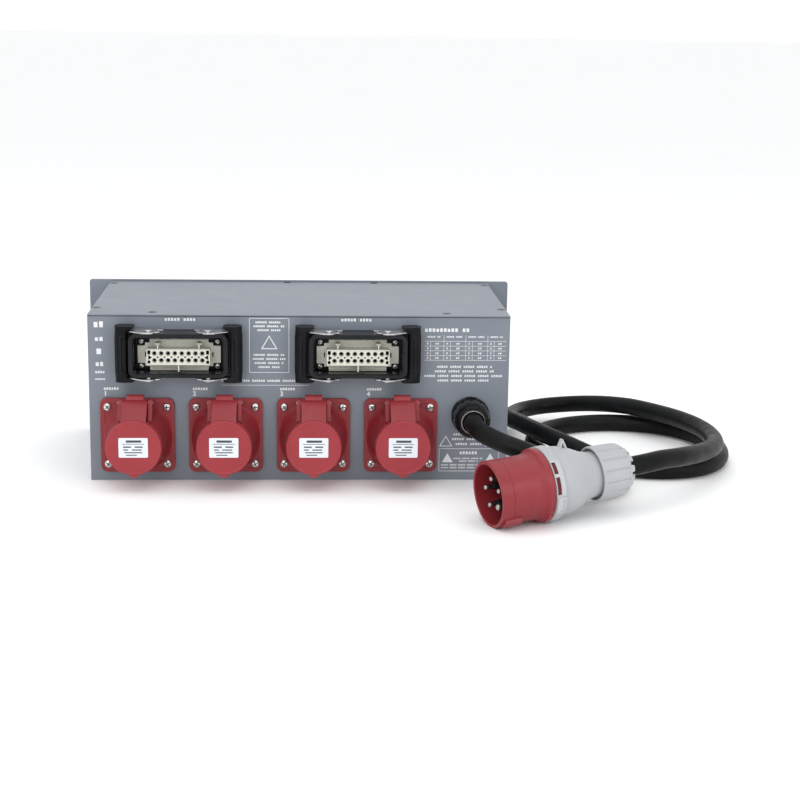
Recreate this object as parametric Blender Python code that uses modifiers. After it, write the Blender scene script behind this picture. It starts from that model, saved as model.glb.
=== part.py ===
"""Rack-mount motor power distribution box, 19 inch wide and 4 units high.

Metres, +Z up. The case stands on z = 0 with the origin under its middle. The socket side
faces -Y and the rack panel with its breakers faces +Y.
"""
import bpy
import bmesh
from math import cos, pi, radians, sin
from mathutils import Matrix, Vector

MM = 0.001
GAP = 0.3 * MM                      # play between neighbouring solids
ROUND = 24                          # sides of a large round piece
SMALL_ROUND = 12                    # sides of a small round piece
WELL_SIDES = 6                      # sides of a contact well

# Case: folded sheet steel behind a standard rack panel
CASE_W = 434 * MM
CASE_H = 175.2 * MM
SHEET = 1.5 * MM
REAR_Y = -113 * MM                  # outer face of the socket side
PANEL_BACK_Y = 110 * MM
PANEL_T = 3 * MM
PANEL_RELIEF = 0.3 * MM             # behind the middle, so that only the ears seat on a rack
PANEL_W = 482.6 * MM
PANEL_H = 177 * MM
TOP_OVERHANG = 1 * MM
TRAY_FLANGE = 14 * MM
RACK_SLOT_PITCH_X = 465.1 * MM
RACK_SLOT_HEIGHTS = (37.7 * MM, 139.3 * MM)
RACK_SLOT_L = 10.3 * MM
RACK_SLOT_W = 6.8 * MM

# Four motor sockets with sprung lids
SOCKET_XS = [(-167.6 + 90.7 * i) * MM for i in range(4)]
SOCKET_Z = 47.7 * MM
FLANGE_RAISE = 1.5 * MM             # flange middle above the socket's axis
FLANGE_W = 76 * MM
FLANGE_H = 78 * MM
FLANGE_T = 5 * MM
FLANGE_R = 5 * MM
COLLAR_OUT = 44 * MM                # how far the collar stands out of the case
COLLAR_R = 26.2 * MM
COLLAR_BORE_R = 24.2 * MM
BORE_STEP = 4 * MM                  # the bore narrows by this much, this far out
NECK_R = 36 * MM                    # flared foot of the collar
NECK_OUT = 28 * MM
BARREL_R = 23.5 * MM                # part behind the panel
BARREL_DEPTH = 34 * MM
CARRIER_R = 19 * MM                 # contact carrier in the middle of the socket
CARRIER_OUT = 40 * MM
CARRIER_DEPTH = 28 * MM
CONTACT_RING_R = 12.5 * MM
CONTACT_HOLE_R = 2.9 * MM
CONTACT_DEPTH = 15 * MM
HINGE_Z = 39.8 * MM                 # above the socket's axis
HINGE_OUT = 22 * MM
HINGE_PIN_R = 1.5 * MM
HINGE_PIN_L = 36 * MM
LUG_GAP_W = 26 * MM                 # between the two hinge lugs
LUG_W = 4.4 * MM
LUG_LOW_Z = 19 * MM
LUG_TOE_OUT = 36 * MM
LUG_TOP = ((4.5, 0), (3, 3.6), (-2, 4.5), (-18, -1.5))      # (out, up) from the hinge, mm
LID_R = 28.2 * MM
LID_FACE_OUT = 54 * MM
LID_SKIRT_OUT = 42 * MM
LID_PLAY = 0.8 * MM                 # between the collar and the lid's skirt
LID_ARM_W = 25 * MM
LID_TAB_W = 17.5 * MM               # finger tab on top of the hinge barrel
BARREL_TOP = 4 * MM
# Side view of the lid's arm and front view of its nose, in millimetres
LID_ARM = ((-5, 1), (-3, 8.5), (2, 7.5), (12, 2), (28, -12.3), (30, -15.8), (30, -19.8),
           (23.5, -19.8), (23.5, -12.4), (20.3, -12.4), (8, -8.3), (0, -5), (-4, -3.5))
LID_NOSE = ((-6.5, -25), (-3, -32.3), (3, -32.3), (6.5, -25))
NOSE_T = 6 * MM

# Two 16-way rectangular connectors with locking levers
CONNECTOR_XS = (-123.5 * MM, 59 * MM)
CONNECTOR_Z = 136.5 * MM
SHELL_W = 100 * MM
SHELL_H = 43 * MM
SHELL_OUT = 27 * MM
SHELL_MOUTH_W = 90 * MM
SHELL_MOUTH_H = 35 * MM
BASE_W = 117 * MM
BASE_T = 5 * MM
INSERT_W = 84.5 * MM
INSERT_H = 33.6 * MM
INSERT_DEPTH = 26 * MM
INSERT_FACE_OUT = 8 * MM
INSERT_WELL_R = 2.1 * MM
INSERT_WELL_DEPTH = 12 * MM
BLOCK_W = 64 * MM
BLOCK_H = 17 * MM
BLOCK_OUT = 23 * MM
CONTACTS_PER_ROW = 8
CONTACT_PITCH = 6.9 * MM
CONTACT_ROW_GAP = 8.4 * MM
LEVER_PIVOT_X = 30 * MM             # either side of a connector's middle
LEVER_PIVOT_OUT = 22 * MM
LEVER_T = 1.4 * MM
PEG_R = 2.6 * MM
WEB_T = 1.2 * MM
WEB_W = 6.4 * MM
WEB_X = 21.2 * MM                   # middle of the web from the pivot
WEB_BACK = 7.2 * MM
# Left lever's arm from above, in millimetres from the pivot
LEVER_ARM = ((-4, -4), (4.2, -4.4), (9, -1), (9, 2.5), (5, 1.5), (3, 4.5), (-3, 5), (-14, 10),
             (-21.7, 10.5), (-21.7, 4), (-12, 0))
GRIP_H = 59 * MM
GRIP_X = 22.1 * MM                  # inner face from the pivot
# Grip sections: share of half the height, growth, inner face from the pivot in millimetres
GRIP_LEVELS = ((-1.0, 1.0, 19.0), (-0.92, 1.08, 18.0), (-0.83, 1.05, 22.1), (-0.64, 0.84, 22.1),
               (0.64, 0.84, 22.1), (0.83, 1.05, 22.1), (0.92, 1.08, 18.0), (1.0, 1.0, 19.0))

# Cable gland, cable and plug
GLAND_X = 177.5 * MM
GLAND_Z = 70 * MM
GLAND_THREAD_R = 15.8 * MM
GLAND_BORE_R = 10.1 * MM
GLAND_OUT = 34 * MM
GLAND_SIDES = 20
CABLE_D = 19.5 * MM
CABLE_STEP = 40 * MM                # two diameters between the tube's points
# The cable's route in millimetres, hand placed: a half turn down from the gland behind the
# plug, one loop on the floor, a second loop lying on the first, and into the plug.
CABLE_ROUTE = [
    (177.5, -147.3, 70), (178, -161, 69.3), (184, -181, 67), (202, -200, 62),
    (229, -209.5, 53.5), (258, -209.5, 42), (287, -200, 28.5), (312, -183, 17),
    (328, -159, 10.5), (329, -133, 9.9), (314, -109, 9.9), (291, -87, 9.9), (271, -60, 9.9),
    (262, -27, 9.9), (263, 9, 9.9), (271, 41, 9.9), (289, 71, 9.9), (320, 94, 9.9),
    (361, 104, 9.9), (402, 97, 9.9), (436, 75, 9.9), (458, 41, 9.9), (467, 1, 9.9),
    (464, -40, 9.9), (451, -75, 9.9), (426, -100, 9.9), (396, -110, 9.9), (368, -108, 9.9),
    (342, -99, 11.5), (317, -85, 17.5), (294, -67, 24.5), (274, -45, 29.5), (259, -14, 30.8),
    (248, 26, 29), (244, 57, 25), (246, 84, 22), (253.5, 110, 20), (267, 132, 19),
    (291, 148, 19.5), (322, 147, 22.5), (354, 128, 27.6), (386, 101, 30.8), (413, 69, 31),
    (434, 34, 31), (448, -8, 31), (451, -51, 31.3), (444, -92, 32.8), (427, -130, 36.5),
    (406, -163, 41), (384, -190, 45), (361, -209, 47.3), (340.4, -222, 46.6),
    (321.7, -229, 44.9),
]
PLUG_FLANGE = Vector((226, -264.7, 36.3)) * MM      # middle of the plug's flange
PLUG_AXIS = Vector((-0.9338, -0.3477, -0.0842)).normalized()    # from the cable to the mouth
PLUG_ROLL = radians(43)             # the key lies this far round from the floor
SHROUD_R = 32.2 * MM
SHROUD_L = 50.5 * MM
SHROUD_WALL = 2.8 * MM
PLUG_FLANGE_R = 36.3 * MM
PLUG_FLANGE_T = 6 * MM
PLUG_NUT_FRONT = 67.5 * MM          # behind the flange
PLUG_NUT_BACK = 102.2 * MM
PLUG_NUT_R = 27.2 * MM
PIN_RING_R = 14.8 * MM
PIN_R = 3 * MM
EARTH_PIN_R = 3.8 * MM
PIN_TIP = 47 * MM                   # in front of the flange
PLUG_SIDES = 28
PLUG_LUG = ((-26, 32), (-29.5, 41), (-31, 41), (-36, 28), (-30, 28))    # (along, up), mm

# Breakers behind the rack panel
WINDOW_Z = 92 * MM
WINDOW_H = 45.6 * MM
POLE_W = 18 * MM
MAIN_POLES = 4
MOTOR_POLES = 3
MOTOR_BREAKERS = 4
BREAKER_X0 = -144 * MM
BREAKER_H = 84 * MM
BREAKER_DEPTH = 66 * MM
BREAKER_NOSE_OUT = 4 * MM           # how far a breaker's nose passes through the panel
TOGGLE_R = 7 * MM
TOGGLE_BACK = 1 * MM                # its axis behind the nose
TOGGLE_SHARE = 0.86                 # of the breaker's width
TOGGLE_ON = radians(22)             # above level when switched on
RAIL_H = 35 * MM
RAIL_END = 10 * MM
LAMP_X = 178 * MM
LAMP_ZS = (122 * MM, 92 * MM, 62 * MM)
LAMP_R = 6 * MM
LAMP_DEPTH = 22 * MM
TERMINAL_PLACE = (150 * MM, -30 * MM)

# Colours: RGB, roughness, metallic
GREY_PAINT = ((0.235, 0.255, 0.285), 0.45, 0.0)
RED_PLASTIC = ((0.42, 0.030, 0.035), 0.42, 0.0)
DARK_RED = ((0.19, 0.012, 0.015), 0.45, 0.0)
BLACK_PLASTIC = ((0.012, 0.013, 0.015), 0.45, 0.0)
BLACK_PAINT = ((0.015, 0.017, 0.020), 0.50, 0.0)
IVORY = ((0.52, 0.52, 0.46), 0.50, 0.0)
STEEL = ((0.60, 0.60, 0.60), 0.30, 1.0)
LIGHT_GREY = ((0.50, 0.52, 0.53), 0.45, 0.0)
RUBBER = ((0.018, 0.019, 0.020), 0.60, 0.0)

PARTS = bpy.data.collections.new("power_distribution_box")
CUTTERS = bpy.data.collections.new("cutters")


# ---------------------------------------------------------------- small tools

def clear_scene():
    for old in list(bpy.data.objects):
        bpy.data.objects.remove(old)
    bpy.context.scene.collection.children.link(PARTS)
    bpy.context.scene.collection.children.link(CUTTERS)


def material(name, finish):
    colour, roughness, metallic = finish
    mat = bpy.data.materials.new(name)
    mat.use_nodes = True
    shader = mat.node_tree.nodes["Principled BSDF"]
    shader.inputs["Base Color"].default_value = (*colour, 1)
    shader.inputs["Roughness"].default_value = roughness
    shader.inputs["Metallic"].default_value = metallic
    mat.diffuse_color = (*colour, 1)
    return mat


def add(name, mesh, finish, place=None, parent=None):
    """Put a mesh in the scene as one sub-part with its own material."""
    obj = bpy.data.objects.new(name, mesh)
    if finish is not None:
        mesh.materials.clear()
        mesh.materials.append(material(name, finish))
        mesh.shade_smooth()
        mesh.set_sharp_from_angle(angle=radians(35))
    PARTS.objects.link(obj)
    if parent is not None:
        obj.parent = parent
    if place is not None:
        obj.matrix_world = place
    return obj


def pivot(name, point):
    """An empty on a joint's axis, which the moving pieces hang from."""
    empty = bpy.data.objects.new(name, None)
    empty.location = point
    PARTS.objects.link(empty)
    return empty


def box(size, centre=(0, 0, 0), bevel=0):
    bm = bmesh.new()
    place = Matrix.Translation(centre) @ Matrix.Diagonal((*size, 1))
    bmesh.ops.create_cube(bm, size=1, matrix=place)
    if bevel:
        bmesh.ops.bevel(bm, geom=bm.edges[:], offset=bevel, segments=1, affect="EDGES")
    mesh = bpy.data.meshes.new("box")
    bm.to_mesh(mesh)
    bm.free()
    return mesh


AXES = {"X": Matrix.Rotation(pi / 2, 4, "Y"), "Y": Matrix.Rotation(-pi / 2, 4, "X"), "Z": Matrix()}


def rod(radius, length, axis="Z", centre=(0, 0, 0), sides=SMALL_ROUND, end_radius=None):
    """A round bar or a cone along one axis; end_radius is the radius at its positive end."""
    bm = bmesh.new()
    end = radius if end_radius is None else end_radius
    place = Matrix.Translation(centre) @ AXES[axis]
    bmesh.ops.create_cone(bm, cap_ends=True, segments=sides, radius1=radius, radius2=end,
                          depth=length, matrix=place)
    mesh = bpy.data.meshes.new("rod")
    bm.to_mesh(mesh)
    bm.free()
    return mesh


def evaluated(obj):
    """The mesh that an object's modifiers or curve make; the object is then removed."""
    bpy.context.view_layer.update()
    graph = bpy.context.evaluated_depsgraph_get()
    mesh = bpy.data.meshes.new_from_object(obj.evaluated_get(graph))
    bpy.data.objects.remove(obj)
    return mesh


def turned(profile, sides=ROUND):
    """Turn (radius, height) points, listed down the outer side, about the Z axis."""
    mesh = bpy.data.meshes.new("turned")
    closed = profile[0][0] > 0
    edges = [(i, i + 1) for i in range(len(profile) - 1)]
    if closed:
        edges.append((len(profile) - 1, 0))
    mesh.from_pydata([(r, 0, h) for r, h in profile], edges, [])
    obj = bpy.data.objects.new("turned", mesh)
    CUTTERS.objects.link(obj)
    screw = obj.modifiers.new("Screw", "SCREW")
    screw.steps = sides
    screw.render_steps = sides
    screw.use_merge_vertices = True
    screw.merge_threshold = 0.00001
    screw.use_normal_calculate = False
    return evaluated(obj)


def plate(outline, thickness):
    """A flat plate from an outline in the XY plane, centred on z = 0."""
    curve = bpy.data.curves.new("plate", "CURVE")
    curve.dimensions = "2D"
    curve.fill_mode = "BOTH"
    curve.extrude = thickness / 2
    spline = curve.splines.new("POLY")
    spline.points.add(len(outline) - 1)
    for point, (x, y) in zip(spline.points, outline):
        point.co = (x, y, 0, 1)
    spline.use_cyclic_u = True
    obj = bpy.data.objects.new("plate", curve)
    CUTTERS.objects.link(obj)
    mesh = evaluated(obj)
    bm = bmesh.new()
    bm.from_mesh(mesh)
    bmesh.ops.remove_doubles(bm, verts=bm.verts[:], dist=0.000005)
    bmesh.ops.recalc_face_normals(bm, faces=bm.faces[:])
    bm.to_mesh(mesh)
    bm.free()
    return mesh


def rounded_rect(width, height, radius, steps=3):
    points = []
    corners = ((1, 1, 0), (-1, 1, 90), (-1, -1, 180), (1, -1, 270))
    for sx, sy, start in corners:
        cx = sx * (width / 2 - radius)
        cy = sy * (height / 2 - radius)
        for k in range(steps + 1):
            a = radians(start + 90 * k / steps)
            points.append((cx + radius * cos(a), cy + radius * sin(a)))
    return points


def moved(mesh, matrix):
    mesh.transform(matrix)
    if matrix.determinant() < 0:
        mesh.flip_normals()
    return mesh


def shift(mesh, x=0.0, y=0.0, z=0.0):
    return moved(mesh, Matrix.Translation((x, y, z)))


def facing_out(mesh):
    """Turn a shape drawn in XY with its height along Z so that its height points to -Y."""
    return moved(mesh, Matrix.Rotation(pi / 2, 4, "X"))


def sideways(mesh):
    """Turn a plate drawn as (out, up) into a socket's (x, up, out), its thickness along X."""
    return moved(mesh, Matrix(((0, 0, 1, 0), (0, 1, 0, 0), (1, 0, 0, 0), (0, 0, 0, 1))))


def mirrored(mesh):
    return moved(mesh, Matrix.Diagonal((-1, 1, 1, 1)))


def joined(base, steps):
    """Union or cut a mesh with others, one exact Boolean each."""
    body = bpy.data.objects.new("body", base)
    CUTTERS.objects.link(body)
    tools = []
    for operation, mesh in steps:
        tool = bpy.data.objects.new("tool", mesh)
        CUTTERS.objects.link(tool)
        tool.hide_render = True
        tool.display_type = "WIRE"
        tools.append(tool)
        step = body.modifiers.new("Boolean", "BOOLEAN")
        step.operation = operation
        step.object = tool
        step.solver = "EXACT"
    mesh = evaluated(body)
    for tool in tools:
        bpy.data.objects.remove(tool)
    return mesh


def cut(base, *tools):
    return joined(base, [("DIFFERENCE", t) for t in tools])


def union(base, *tools):
    return joined(base, [("UNION", t) for t in tools])


# ---------------------------------------------------------------- the case

def chassis_tray():
    """Floor and side walls in one fold, with narrow flanges that carry the top cover."""
    half = CASE_W / 2
    top = CASE_H - SHEET - GAP
    flange = half - TRAY_FLANGE
    left = [(-flange, top), (-half, top), (-half, 0)]
    right = [(half, 0), (half, top), (flange, top)]
    inner_right = [(flange, top - SHEET), (half - SHEET, top - SHEET), (half - SHEET, SHEET)]
    inner_left = [(SHEET - half, SHEET), (SHEET - half, top - SHEET), (-flange, top - SHEET)]
    start = REAR_Y + SHEET + GAP
    depth = PANEL_BACK_Y - GAP - start
    mesh = plate(left + right + inner_right + inner_left, depth)
    mesh = facing_out(mesh)
    add("chassis_tray", shift(mesh, y=start + depth / 2), GREY_PAINT)


def top_cover():
    start = REAR_Y - TOP_OVERHANG
    depth = PANEL_BACK_Y - GAP - start
    mesh = box((CASE_W, depth, SHEET), (0, start + depth / 2, CASE_H - SHEET / 2))
    add("top_cover", mesh, GREY_PAINT)


def rear_panel():
    """The socket side: a flat plate with every outlet's cut-out."""
    height = CASE_H - SHEET - GAP
    base = box((CASE_W, SHEET, height), (0, REAR_Y + SHEET / 2, height / 2))
    tools = []
    for x in SOCKET_XS:
        tools.append(rod(BARREL_R + GAP, 4 * SHEET, "Y", (x, REAR_Y, SOCKET_Z), ROUND))
    for x in CONNECTOR_XS:
        size = (INSERT_W + 2 * MM, 4 * SHEET, INSERT_H + 2 * MM)
        tools.append(box(size, (x, REAR_Y, CONNECTOR_Z)))
    tools.append(rod(GLAND_THREAD_R + GAP, 4 * SHEET, "Y", (GLAND_X, REAR_Y, GLAND_Z), ROUND))
    add("rear_panel", cut(base, *tools), GREY_PAINT)


def breaker_spans():
    """(name, left edge, poles) of every breaker from left to right."""
    spans = [("main_breaker", BREAKER_X0, MAIN_POLES)]
    x = BREAKER_X0 + MAIN_POLES * POLE_W
    for i in range(MOTOR_BREAKERS):
        spans.append((f"motor_breaker_{i + 1}", x, MOTOR_POLES))
        x += MOTOR_POLES * POLE_W
    return spans


def front_panel():
    """Rack panel with two slots in each ear, the breaker window and the lamp holes."""
    outline = rounded_rect(PANEL_W, PANEL_H, 3 * MM)
    base = facing_out(plate(outline, PANEL_T))
    middle = PANEL_BACK_Y + PANEL_T / 2
    base = shift(base, y=middle, z=PANEL_H / 2)
    tools = []
    slot_outline = rounded_rect(RACK_SLOT_L, RACK_SLOT_W, RACK_SLOT_W / 2 - 0.01 * MM)
    for side in (-1, 1):
        for z in RACK_SLOT_HEIGHTS:
            slot = facing_out(plate(slot_outline, 3 * PANEL_T))
            tools.append(shift(slot, side * RACK_SLOT_PITCH_X / 2, middle, z))
    poles = MAIN_POLES + MOTOR_BREAKERS * MOTOR_POLES
    width = poles * POLE_W + 1 * MM
    centre_x = BREAKER_X0 + poles * POLE_W / 2
    tools.append(box((width, 3 * PANEL_T, WINDOW_H), (centre_x, middle, WINDOW_Z)))
    for z in LAMP_ZS:
        tools.append(rod(LAMP_R + GAP, 3 * PANEL_T, "Y", (LAMP_X, middle, z)))
    relief = (CASE_W + 2 * GAP, 2 * PANEL_RELIEF, 2 * PANEL_H)
    tools.append(box(relief, (0, PANEL_BACK_Y, PANEL_H / 2)))
    add("front_panel", cut(base, *tools), GREY_PAINT)


# ---------------------------------------------------------------- motor sockets

def contact_places(ring_radius, count=5):
    """Five contacts on a ring, (x, z), with the earth contact, the first, at the bottom."""
    return [(ring_radius * sin(2 * pi * k / count), -ring_radius * cos(2 * pi * k / count))
            for k in range(count)]


def socket_housing_mesh():
    """Square flange, flared neck, collar and hinge lugs; its own frame faces -Y."""
    flange = plate(rounded_rect(FLANGE_W, FLANGE_H, FLANGE_R), FLANGE_T)
    flange = shift(flange, y=FLANGE_RAISE, z=FLANGE_T / 2 + GAP)
    foot = FLANGE_T - 1 * MM
    barrel_r = BARREL_R - 2 * GAP
    step_r = COLLAR_BORE_R - BORE_STEP
    neck = turned([
        (COLLAR_BORE_R, COLLAR_OUT), (COLLAR_R, COLLAR_OUT), (COLLAR_R, NECK_OUT),
        (NECK_R, foot), (NECK_R, 1 * MM), (barrel_r, 1 * MM), (barrel_r, -BARREL_DEPTH),
        (step_r, -BARREL_DEPTH), (step_r, BORE_STEP), (COLLAR_BORE_R, BORE_STEP),
    ])
    bore = rod(step_r, 5 * FLANGE_T, sides=ROUND)
    lugs = []
    for side in (-1, 1):
        outline = [(HINGE_OUT + out * MM, HINGE_Z + up * MM) for out, up in LUG_TOP]
        outline += [(foot, LUG_LOW_Z), (LUG_TOE_OUT, LUG_LOW_Z), (LUG_TOE_OUT, LUG_LOW_Z + 5 * MM)]
        lug = sideways(plate(outline, LUG_W))
        lugs.append(shift(lug, x=side * (LUG_GAP_W + LUG_W) / 2))
    pin_hole = rod(HINGE_PIN_R + GAP, HINGE_PIN_L + 4 * MM, "X", (0, HINGE_Z, HINGE_OUT))
    mesh = union(cut(flange, bore), neck, *lugs)
    return facing_out(cut(mesh, pin_hole))


def socket_carrier_mesh():
    """Round contact carrier with five contact wells."""
    foot_r = COLLAR_BORE_R - BORE_STEP - GAP
    foot = BORE_STEP + GAP
    base = turned([(0, CARRIER_OUT), (CARRIER_R, CARRIER_OUT), (CARRIER_R, foot), (foot_r, foot),
                   (foot_r, -CARRIER_DEPTH), (0, -CARRIER_DEPTH)])
    wells = [rod(CONTACT_HOLE_R, 2 * CONTACT_DEPTH, "Z", (x, y, CARRIER_OUT), WELL_SIDES)
             for x, y in contact_places(CONTACT_RING_R)]
    return facing_out(cut(base, *wells))


def socket_lid_mesh():
    """Cap over the collar with a nose to lift it by and an arm up to the hinge barrel."""
    inner_r = COLLAR_R + LID_PLAY
    ceiling = COLLAR_OUT + 1 * MM
    cap = turned([(0, LID_FACE_OUT), (LID_R - 2 * MM, LID_FACE_OUT), (LID_R, LID_FACE_OUT - 1.5 * MM),
                  (LID_R, LID_SKIRT_OUT), (inner_r, LID_SKIRT_OUT), (inner_r, ceiling), (0, ceiling)])
    nose = plate([(x * MM, up * MM) for x, up in LID_NOSE], NOSE_T)
    nose = shift(nose, z=LID_FACE_OUT - 0.6 * MM - NOSE_T / 2)
    outline = [(HINGE_OUT + out * MM, HINGE_Z + up * MM) for out, up in LID_ARM]
    arm = sideways(plate(outline, LID_ARM_W))
    hole = rod(HINGE_PIN_R + GAP, LID_ARM_W + 4 * MM, "X", (0, HINGE_Z, HINGE_OUT))
    shoulder = Vector((LID_ARM_W / 2, 20 * MM, 40 * MM))
    shoulders = [box(shoulder, (side * (LID_TAB_W + shoulder.x) / 2,
                                HINGE_Z + BARREL_TOP + shoulder.y / 2, HINGE_OUT)) for side in (-1, 1)]
    return facing_out(cut(union(cap, arm, nose), hole, *shoulders))


def sockets():
    housing = socket_housing_mesh()
    carrier = socket_carrier_mesh()
    lid = socket_lid_mesh()
    hinge = Vector((0, -HINGE_OUT, HINGE_Z))
    lid.transform(Matrix.Translation(-hinge))
    pin = rod(HINGE_PIN_R, HINGE_PIN_L, "X")
    for n, x in enumerate(SOCKET_XS, 1):
        place = Matrix.Translation((x, REAR_Y, SOCKET_Z))
        hinge_place = place @ Matrix.Translation(hinge)
        add(f"socket_{n}_housing", housing.copy(), RED_PLASTIC, place)
        add(f"socket_{n}_contact_carrier", carrier.copy(), DARK_RED, place)
        add(f"socket_{n}_lid", lid.copy(), RED_PLASTIC, hinge_place)
        add(f"socket_{n}_hinge_pin", pin.copy(), STEEL, hinge_place)


# ---------------------------------------------------------------- rectangular connectors

def connector_shell_mesh():
    """Bulkhead shell: base plate, hollow rim and four pegs that the levers turn on."""
    base = shift(plate(rounded_rect(BASE_W, SHELL_H, 4 * MM, 2), BASE_T), z=BASE_T / 2 + GAP)
    rim = plate(rounded_rect(SHELL_W, SHELL_H - 0.4 * MM, 6 * MM, 2), SHELL_OUT - 1 * MM)
    rim = shift(rim, z=(SHELL_OUT + 1 * MM) / 2)
    mouth = plate(rounded_rect(SHELL_MOUTH_W, SHELL_MOUTH_H, 3 * MM, 2), 3 * SHELL_OUT)
    pegs = []
    for side in (-1, 1):
        centre = (side * LEVER_PIVOT_X, 0, LEVER_PIVOT_OUT)
        pegs.append(rod(PEG_R, SHELL_H + 2 * LEVER_T + 3.2 * MM, "Y", centre))
    return facing_out(cut(union(base, rim, *pegs), mouth))


def connector_insert_mesh():
    """Contact insert: flat ends, raised block and two rows of contact wells."""
    body = box((INSERT_W, INSERT_H, INSERT_FACE_OUT), (0, 0, INSERT_FACE_OUT / 2))
    deep = box((INSERT_W - 14 * MM, INSERT_H - 2 * MM, INSERT_DEPTH),
               (0, 0, INSERT_FACE_OUT / 2 - INSERT_DEPTH / 2))
    block = box((BLOCK_W, BLOCK_H, BLOCK_OUT), (0, 0, BLOCK_OUT / 2))
    wells = []
    for row in (-1, 1):
        for k in range(CONTACTS_PER_ROW):
            x = (k - (CONTACTS_PER_ROW - 1) / 2) * CONTACT_PITCH
            place = (x, row * CONTACT_ROW_GAP / 2, BLOCK_OUT)
            wells.append(rod(INSERT_WELL_R, 2 * INSERT_WELL_DEPTH, "Z", place, WELL_SIDES))
    return facing_out(cut(union(body, deep, block), *wells))


def lever_bracket_mesh(side):
    """Stamped U bracket: two hooked arms and the web that the grip is clipped on."""
    arm_z = SHELL_H / 2 + 0.6 * MM + LEVER_T / 2
    arm = [(x * MM, y * MM) for x, y in LEVER_ARM]
    arms = [shift(plate(arm, LEVER_T), z=k * arm_z) for k in (-1, 1)]
    web = box((WEB_T, WEB_W, 2 * arm_z + 0.9 * LEVER_T), (-WEB_X, WEB_BACK, 0))
    hole = rod(PEG_R + GAP, 3 * SHELL_H)
    mesh = cut(union(web, *arms), hole)
    return mirrored(mesh) if side > 0 else mesh


def lever_grip_mesh(side):
    """Moulded grip over the bracket's web: waisted in the middle, flared at both ends."""
    bm = bmesh.new()
    rings = []
    for t, grow, inner in GRIP_LEVELS:
        near = -GRIP_X - 4 * MM
        far = [-GRIP_X - reach * grow * MM for reach in (9.5, 12.2, 12.0, 8.5)]
        ring = [(-inner * MM, -2.5 * grow * MM), (-inner * MM, 13.5 * grow * MM), (near, 14.6 * grow * MM),
                (far[0], 14 * grow * MM), (far[1], 8 * MM), (far[2], 1 * MM),
                (far[3], -2.6 * grow * MM), (near, -3.2 * grow * MM)]
        rings.append([bm.verts.new((x, y, t * GRIP_H / 2)) for x, y in ring])
    count = len(rings[0])
    for low, high in zip(rings, rings[1:]):
        for k in range(count):
            bm.faces.new((low[k], low[(k + 1) % count], high[(k + 1) % count], high[k]))
    bm.faces.new(rings[0][::-1])
    bm.faces.new(rings[-1])
    bmesh.ops.recalc_face_normals(bm, faces=bm.faces[:])
    mesh = bpy.data.meshes.new("grip")
    bm.to_mesh(mesh)
    bm.free()
    return mirrored(mesh) if side > 0 else mesh


def connectors():
    shell = connector_shell_mesh()
    insert = connector_insert_mesh()
    for n, x in enumerate(CONNECTOR_XS, 1):
        place = Matrix.Translation((x, REAR_Y, CONNECTOR_Z))
        add(f"connector_{n}_shell", shell.copy(), BLACK_PAINT, place)
        add(f"connector_{n}_insert", insert.copy(), IVORY, place)
        for side, word in ((-1, "left"), (1, "right")):
            point = (x + side * LEVER_PIVOT_X, REAR_Y - LEVER_PIVOT_OUT, CONNECTOR_Z)
            hinge = pivot(f"connector_{n}_{word}_lever_pivot", point)
            at = Matrix.Translation(point)
            add(f"connector_{n}_{word}_lever", lever_bracket_mesh(side), STEEL, at, hinge)
            add(f"connector_{n}_{word}_grip", lever_grip_mesh(side), BLACK_PLASTIC, at, hinge)


# ---------------------------------------------------------------- gland, cable and plug

def gland():
    """Threaded gland body with its collar, the domed clamping nut and the lock nut inside."""
    place = Matrix.Translation((GLAND_X, REAR_Y, GLAND_Z))
    neck_r = 15 * MM
    collar_r = 20 * MM
    collar_out = 9 * MM
    body = turned([(GLAND_BORE_R + 3.4 * MM, 20 * MM), (neck_r, 20 * MM), (neck_r, collar_out),
                   (collar_r, collar_out), (collar_r, GAP), (GLAND_THREAD_R, GAP),
                   (GLAND_THREAD_R, -14 * MM), (GLAND_BORE_R + 2 * MM, -14 * MM),
                   (GLAND_BORE_R + 2 * MM, 10 * MM)], GLAND_SIDES)
    add("gland_body", facing_out(body), BLACK_PLASTIC, place)
    lip_r = GLAND_BORE_R + 0.4 * MM
    nut_foot = collar_out + 0.4 * MM
    nut = turned([(lip_r, GLAND_OUT), (13 * MM, GLAND_OUT), (17.5 * MM, 30 * MM), (19 * MM, 24 * MM),
                  (19 * MM, nut_foot), (neck_r + 0.4 * MM, nut_foot), (neck_r + 0.4 * MM, 21 * MM),
                  (lip_r, 26 * MM)], GLAND_SIDES)
    add("gland_nut", facing_out(nut), BLACK_PLASTIC, place)
    face = -SHEET - GAP
    back = face - 6 * MM
    bore = GLAND_THREAD_R + 2 * GAP
    lock = turned([(bore, face), (21 * MM, face), (21 * MM, back), (bore, back)], GLAND_SIDES)
    add("gland_lock_nut", facing_out(lock), BLACK_PLASTIC, place)


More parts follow.
